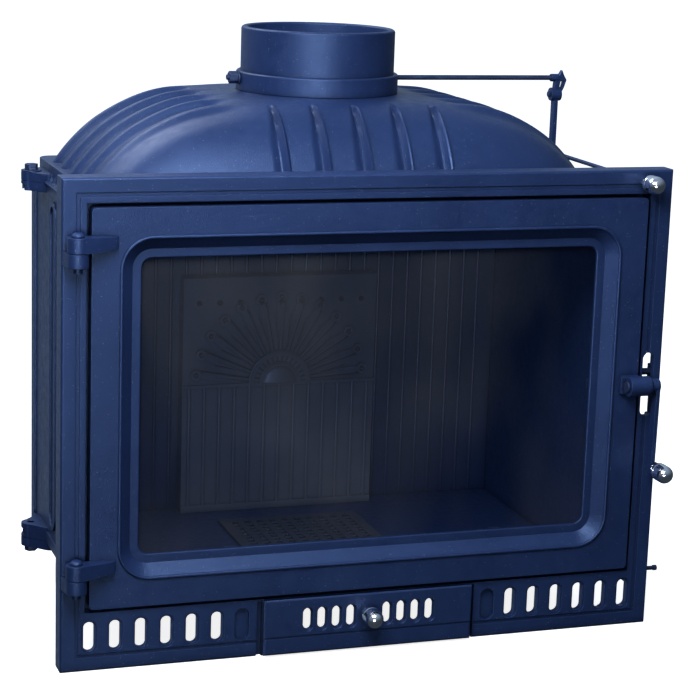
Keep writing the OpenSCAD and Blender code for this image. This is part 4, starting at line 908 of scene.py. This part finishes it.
def turned_profile(bm, points, centre, axis, steps):
    """Turns a profile of (radius, distance along the axis) once round."""
    across = Vector((1, 0, 0)) if abs(axis.x) < 0.5 else Vector((0, 0, 1))
    verts = [bm.verts.new(centre + across * r + axis * d) for r, d in points]
    edges = [bm.edges.new(pair) for pair in zip(verts, verts[1:])]
    bmesh.ops.spin(
        bm, geom=verts + edges, cent=centre, axis=axis, dvec=(0, 0, 0),
        angle=math.tau, steps=steps, use_merge=True, use_duplicate=False)


def close_turning(bm):
    bmesh.ops.remove_doubles(bm, verts=bm.verts, dist=1e-6)
    bmesh.ops.recalc_face_normals(bm, faces=bm.faces)


def half_round(bm, x, z, width, height):
    """A closed half-round section that stands on the panel at X and Z."""
    arch = [(math.cos(a), math.sin(a)) for a in [math.pi * i / 4 for i in range(5)]]
    verts = [bm.verts.new((x + width * c, -height * s, z)) for c, s in arch]
    verts += [bm.verts.new((x - width, 0.001, z)), bm.verts.new((x + width, 0.001, z))]
    return verts, [bm.edges.new((verts[i - 1], verts[i])) for i in range(len(verts))]


def carry(bm, verts, edges, shift, scale):
    """Extrudes a section along a straight stem and returns its far end."""
    made = bmesh.ops.extrude_edge_only(bm, edges=edges)["geom"]
    far = [v for v in made if isinstance(v, bmesh.types.BMVert)]
    middle = sum((v.co for v in far), Vector()) / len(far)
    bmesh.ops.scale(bm, verts=far, vec=(scale, 1, 1), space=Matrix.Translation(-middle))
    bmesh.ops.translate(bm, verts=far, vec=shift)
    return far, [e for e in made if isinstance(e, bmesh.types.BMEdge)
                 and all(v in far for v in e.verts)]


def cap_ends(bm):
    bmesh.ops.holes_fill(bm, edges=[e for e in bm.edges if e.is_boundary], sides=0)
    bmesh.ops.recalc_face_normals(bm, faces=bm.faces)


def fan_ray(bm, ring_r, eye_r, height):
    """An upright ray: a cane that hooks round an eye, and a shorter blade beside it."""
    reach, hook = eye_r - ring_r, 0.0058
    verts, edges = half_round(bm, 0.0016, ring_r, 0.0011, height)
    verts, edges = carry(bm, verts, edges, (hook - 0.0016, 0, reach), 1.15)
    bmesh.ops.spin(
        bm, geom=verts + edges, cent=(0, 0, eye_r), axis=(0, -1, 0), dvec=(0, 0, 0),
        angle=math.radians(235), steps=20, use_merge=False, use_duplicate=False)
    verts, edges = half_round(bm, -0.0022, ring_r, 0.0010, height * 0.85)
    carry(bm, verts, edges, (0.0008, 0, reach * 0.66), 0.5)
    verts, edges = half_round(bm, 0.0105, ring_r + reach * 0.22, 0.0008, height * 0.5)
    carry(bm, verts, edges, (0.0030, 0, reach * 0.45), 0.6)


# Places a piece in the fired finish, which is painted lighter as painted light inside the firebox
def place_fired_painted_lighter(bm, name, **looks):
    place_piece(bm, name, "firebox", "cast_iron", finish="fired_iron_painted_lighter", **looks)


FAN_MIDDLE_Z, RAY_START, RAY_EYE = 0.225, 0.0402, 0.110


class INSERT_OT_fan(bpy.types.Operator):
    """Carves the fireback's half-round fan: boss, toothed ring, rays and their eyes"""
    bl_idname = "insert.fan"
    bl_label = "Fireback fan"

    def execute(self, context):
        detail = context.scene.insert_detail
        low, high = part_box("fireback_panel")
        face_y = low.y + 0.0035
        middle = Vector((0.0, face_y, FAN_MIDDLE_Z))
        out = Vector((0, -1, 0))
        bm = bmesh.new()
        turned_profile(
            bm, [(0.0, 0.0058), (0.008, 0.0056), (0.016, 0.0046), (0.0215, 0.0030), (0.0235, 0.0)],
            middle, out, 64)
        for radius, thick in ((0.0255, 0.0014), (0.0395, 0.0017)):
            ring = [
                (radius + thick * math.cos(a), 0.0022 + thick * 0.9 * math.sin(a))
                for a in [math.tau * i / 8 for i in range(9)]
            ]
            turned_profile(bm, ring, middle, out, 96)
        close_turning(bm)
        bmesh.ops.bisect_plane(
            bm, geom=everything(bm), plane_co=middle, plane_no=(0, 0, -1), clear_outer=True)
        bmesh.ops.holes_fill(bm, edges=[e for e in bm.edges if e.is_boundary], sides=0)
        place_fired_painted_lighter(bm, "fan_boss", even=False, sharp=50.0)

        teeth = bmesh.new()
        count = 15
        for i in range(count):
            turn = Matrix.Rotation(math.pi * (i + 0.5) / count, 4, "Y")
            block = add_box(teeth, (0.0112, 0.0030, 0.0040), (-0.0316, -0.0006, 0.0))
            bmesh.ops.rotate(teeth, verts=block, cent=(0, 0, 0), matrix=turn)
            bmesh.ops.translate(teeth, verts=block, vec=middle)
        bevel(teeth, teeth.edges[:], 0.0007, 2)
        place_fired_painted_lighter(teeth, "fan_teeth")

        rays, eyes = bmesh.new(), bmesh.new()
        for i in range(detail.rays):
            turn = Matrix.Rotation(math.pi * (i + 0.5) / detail.rays - math.pi / 2, 4, "Y")
            for made in (rays, eyes):
                start = len(made.verts)
                if made is rays:
                    fan_ray(made, RAY_START, RAY_EYE, 0.0034)
                else:
                    profile = [(0.0, 0.0040), (0.0010, 0.0038), (0.0019, 0.0029), (0.0023, -0.001)]
                    turned_profile(made, profile, Vector((0, 0, RAY_EYE)), out, 20)
                made.verts.ensure_lookup_table()
                new = made.verts[start:]
                bmesh.ops.rotate(made, verts=new, cent=(0, 0, 0), matrix=turn)
                bmesh.ops.translate(made, verts=new, vec=middle)
        cap_ends(rays)
        close_turning(eyes)
        place_fired_painted_lighter(rays, "fan_rays", sharp=55.0)
        beads = bmesh.new()
        count = 58
        for j in range(count):
            spot = Vector((low.x * (1 - 2 * (j + 0.5) / count), face_y, low.z + 0.0042))
            bmesh.ops.create_icosphere(
                beads, subdivisions=1, radius=0.0013, matrix=Matrix.Translation(spot))
        place_fired_painted_lighter(beads, "panel_beads", sharp=80.0)
        place_fired_painted_lighter(eyes, "fan_eyes", sharp=55.0, even=False)
        return {"FINISHED"}


# Knobs

KNOB_LENGTH = 33.0  # mm
KNOB_TURNING = (  # how far inside the radius, and how far from the seat, in mm
    (3.9, 0.0), (3.4, 0.3), (3.4, 1.5), (3.9, 1.9), (5.0, 2.1), (5.0, 3.6), (4.2, 4.4),
    (1.6, 5.9), (0.5, 7.2), (0.1, 8.8), (0.0, 10.2), (0.0, 12.6), (0.45, 12.9),
    (0.45, 13.6), (0.0, 13.9),
)


class INSERT_OT_knobs(bpy.types.Operator):
    """Turns the three polished knobs"""
    bl_idname = "insert.knobs"
    bl_label = "Knobs"

    def execute(self, context):
        steps = context.scene.insert_detail.knob_steps
        for node in ("latch_knob", "drawer_knob", "pull_knob"):
            low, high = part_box(node)
            r = (high.x - low.x) / 2 / MM
            middle = (low + high) / 2
            seat = Vector((middle.x, low.y + KNOB_LENGTH * MM, middle.z))
            stud = (high.y - seat.y) / MM
            profile = [(0.0, -stud), (3.0, -stud), (3.0, 0.0)] if stud > 0.5 else [(0.0, 0.0)]
            profile += [(r - inset, at) for inset, at in KNOB_TURNING]
            shoulder = KNOB_LENGTH - r
            profile += [(r, shoulder - 3.0)] if shoulder > 17.5 else []
            profile += [
                (r * math.cos(math.radians(a)), shoulder + r * math.sin(math.radians(a)))
                for a in range(0, 90, 6)
            ] + [(0.0, KNOB_LENGTH)]
            bm = bmesh.new()
            turned_profile(
                bm, [(p * MM, d * MM) for p, d in profile], seat, Vector((0, -1, 0)), steps)
            close_turning(bm)
            place_piece(bm, f"{node}_turned", body_of_node(node), "polished_steel", (node,),
                        sharp=38.0, even=False)
        return {"FINISHED"}


# Seals

def round_path(half_x, z0, z1, r, share):
    """Point and heading (in X and Z) at a share of the way round a rounded rectangle."""
    left, right, low, high = -half_x + r, half_x - r, z0 + r, z1 - r
    sides = [2 * (half_x - r), z1 - z0 - 2 * r] * 2
    arc = math.pi / 2 * r
    at = share * sum(length for side in sides for length in (side, arc))
    corners = [(right, low), (right, high), (left, high), (left, low)]
    starts = [(left, z0), (half_x, low), (right, z1), (-half_x, high)]
    for k, side in enumerate(sides):
        heading = math.pi / 2 * k
        if at <= side:
            x, z = starts[k]
            return x + at * math.cos(heading), z + at * math.sin(heading), heading
        at -= side
        if at <= arc:
            turn = at / r
            cx, cz = corners[k]
            a = heading - math.pi / 2 + turn
            return cx + r * math.cos(a), cz + r * math.sin(a), heading + turn
        at -= arc
    return starts[0][0], starts[0][1], 0.0


class INSERT_OT_seals(bpy.types.Operator):
    """Lays the rope seal round the door's back and the tape under its glass"""
    bl_idname = "insert.seals"
    bl_label = "Seals"

    def execute(self, context):
        steps = context.scene.insert_detail.rope_steps
        low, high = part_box("door_rope_seal")
        r = (high.y - low.y) / 2 - 0.0002
        y = (low.y + high.y) / 2
        sides = 12
        bm = bmesh.new()
        rings = [
            bmesh.ops.create_circle(bm, cap_ends=False, segments=sides, radius=r)["verts"]
            for _ in range(steps)
        ]
        for k, ring in enumerate(rings):
            x, z, heading = round_path(high.x - r, low.z + r, high.z - r, 0.020, k / steps)
            for v in ring:
                around = math.atan2(v.co.y, v.co.x)
                swell = 1.0 - 0.05 * (0.5 + 0.5 * math.sin(3 * around + math.tau * k / 8))
                d = r * swell
                across, depth = d * math.cos(around), d * math.sin(around)
                v.co = (x + across * math.sin(heading), y + depth, z - across * math.cos(heading))
        for a, b in zip(rings, rings[1:] + rings[:1]):
            for i in range(sides):
                bm.faces.new((a[i], a[(i + 1) % sides], b[(i + 1) % sides], b[i]))
        bmesh.ops.recalc_face_normals(bm, faces=bm.faces)
        place_piece(bm, "rope_seal", "door", "sealing_rope", ("door_rope_seal",),
                    sharp=60.0, even=False)
        soft_copy("glass_tape", 0.00035)
        return {"FINISHED"}


# Studio

IMAGE_PX, FOCAL_PX, SENSOR_MM = 696, 2139.66, 36.0
CAMERA_PLACE = (-0.77985, -2.15701, 0.85513)
CAMERA_FORWARD, CAMERA_RIGHT = (0.3194, 0.9225, -0.2166), (0.9450, -0.3271, 0.0)
CAMERA_ROLL = math.radians(1.938)
BACKDROP_SIDE = (-0.12, 0.95, 0.28)
LAMP_COLOUR, ROOM_COLOUR = (0.98, 0.97, 1.0), (0.58, 0.76, 1.0, 1.0)
WHITE = (1.0, 1.0, 1.0, 1.0)


def room_light(scene, studio):
    """A room that is brightest above and glows behind the insert; the camera sees it white."""
    world = scene.world or bpy.data.worlds.new("room")
    scene.world = world
    world.use_nodes = True
    n = Nodes(world.node_tree)

    def lobe(direction, **levels):
        """Light that fades with the angle from a direction."""
        toward = n.add("ShaderNodeVectorMath", operation="DOT_PRODUCT")
        toward.inputs[1].default_value = Vector(direction).normalized()
        n.join(n.place, "Generated", toward, 0)
        fade = n.add("ShaderNodeMapRange", interpolation_type="SMOOTHSTEP")
        n.join(toward, "Value", fade, "Value")
        return n.set(fade, **levels), "Result"

    total = n.combine(
        "ADD",
        lobe(studio.bright_side, From_Min=-0.25, To_Min=studio.sky * studio.dim_side,
             To_Max=studio.sky),
        lobe(BACKDROP_SIDE, From_Min=0.35, To_Max=studio.backdrop))
    room = n.set(n.add("ShaderNodeBackground"), Color=ROOM_COLOUR)
    n.join(total, "Value", room, "Strength")
    seen = n.set(n.add("ShaderNodeBackground"), Color=WHITE)
    mix = n.add("ShaderNodeMixShader")
    n.join(n.add("ShaderNodeLightPath"), "Is Camera Ray", mix, "Fac")
    n.join(room, "Background", mix, 1)
    n.join(seen, "Background", mix, 2)
    n.join(mix, "Shader", n.add("ShaderNodeOutputWorld"), "Surface")


def add_camera(scene):
    """The photograph's camera, solved from the edges of the plate, door, collar and drawer."""
    forward = Vector(CAMERA_FORWARD).normalized()
    right = Vector(CAMERA_RIGHT).normalized()
    up = right.cross(forward).normalized()
    side = right * math.cos(CAMERA_ROLL) + up * math.sin(CAMERA_ROLL)
    head = -right * math.sin(CAMERA_ROLL) + up * math.cos(CAMERA_ROLL)
    lens = bpy.data.cameras.new("camera")
    lens.sensor_width = SENSOR_MM
    lens.lens = FOCAL_PX / IMAGE_PX * SENSOR_MM
    lens.clip_start, lens.clip_end = 0.05, 60.0
    camera = new_object("camera", lens)
    camera.matrix_world = Matrix((
        *((side[i], head[i], -forward[i], CAMERA_PLACE[i]) for i in range(3)), (0, 0, 0, 1)))
    scene.camera = camera


def add_lamp(name, place, target, size, power):
    light = bpy.data.lights.new(name, "AREA")
    light.shape = "RECTANGLE"
    light.size, light.size_y = size
    light.energy = power
    light.color = LAMP_COLOUR
    lamp = new_object(name, light)
    lamp.location = place
    aim = Vector(target) - Vector(place)
    lamp.rotation_euler = aim.to_track_quat("-Z", "Y").to_euler()
    return lamp


def add_floor(studio):
    """A pale floor, left out of diffuse and glossy light so that it does not tint the iron."""
    bm = bmesh.new()
    bmesh.ops.create_grid(bm, x_segments=8, y_segments=8, size=30.0)
    floor = mesh_object("floor", bm)
    n = Finish("floor")
    pale = tuple(studio.floor_colour)
    soft = n.noise(1.2, detail=2.0)
    tint = n.ramp(soft, "Fac", [(0.2, tuple(c * 0.985 for c in pale)), (0.8, pale)])
    n.feed(tint, "Color", "Base Color")
    n.set(n.shader, Roughness=0.85, Specular_IOR_Level=0.0, Emission_Color=WHITE,
          Emission_Strength=studio.floor_glow)
    floor.data.materials.append(n.material)
    floor.visible_diffuse = False
    floor.visible_glossy = False


class INSERT_OT_stage(bpy.types.Operator):
    """Sets the camera, the lamps and the pale floor"""
    bl_idname = "insert.stage"
    bl_label = "Stage"

    def execute(self, context):
        studio = context.scene.insert_studio
        add_camera(context.scene)
        add_lamp("key", (-0.40, -0.60, 1.15), (0, 0.0, 0.45), (0.8, 0.5), studio.key)
        add_lamp("back", (-0.70, 1.00, 1.70), (-0.1, 0.2, 0.5), (1.3, 0.9), studio.rim)
        shine = add_lamp("front", (-0.95, -2.50, 0.20), (0, 0.2, 0.6), (0.6, 0.6), studio.fill)
        shine.visible_diffuse = False
        room_light(context.scene, studio)
        context.scene.view_settings.view_transform = "Standard"
        if studio.show_floor:
            add_floor(studio)
        return {"FINISHED"}


class INSERT_PT_sidebar(bpy.types.Panel):
    bl_idname = "INSERT_PT_sidebar"
    bl_label = "Fireplace insert"
    bl_space_type = "VIEW_3D"
    bl_region_type = "UI"
    bl_category = "Insert"

    def draw(self, context):
        for setting in SETTINGS:
            group = getattr(context.scene, setting)
            box = self.layout.box()
            for name in group.__annotations__:
                box.prop(group, name)
        for operator in OPERATORS:
            self.layout.operator(operator.bl_idname)


OPERATORS = (
    INSERT_OT_castings, INSERT_OT_hood, INSERT_OT_fan, INSERT_OT_grate, INSERT_OT_door,
    INSERT_OT_drawer, INSERT_OT_moving, INSERT_OT_knobs, INSERT_OT_seals,
    INSERT_OT_hardware, INSERT_OT_stage,
)
SETTINGS = {
    "insert_paint": PaintSettings, "insert_hood": HoodSettings,
    "insert_detail": DetailSettings, "insert_studio": StudioSettings,
}
CLASSES = (*SETTINGS.values(), *OPERATORS, INSERT_PT_sidebar)


def register():
    for kind in CLASSES:
        bpy.utils.register_class(kind)
    for name, kind in SETTINGS.items():
        setattr(bpy.types.Scene, name, PointerProperty(type=kind))


def unregister():
    for name in reversed(SETTINGS):
        delattr(bpy.types.Scene, name)
    for kind in reversed(CLASSES):
        bpy.utils.unregister_class(kind)


def main():
    register()
    bpy.ops.insert.castings()
    bpy.ops.insert.hood()
    bpy.ops.insert.fan()
    bpy.ops.insert.grate()
    bpy.ops.insert.door()
    bpy.ops.insert.drawer()
    bpy.ops.insert.moving()
    bpy.ops.insert.knobs()
    bpy.ops.insert.seals()
    bpy.ops.insert.hardware()
    bpy.ops.insert.stage()


if __name__ == "__main__":
    main()
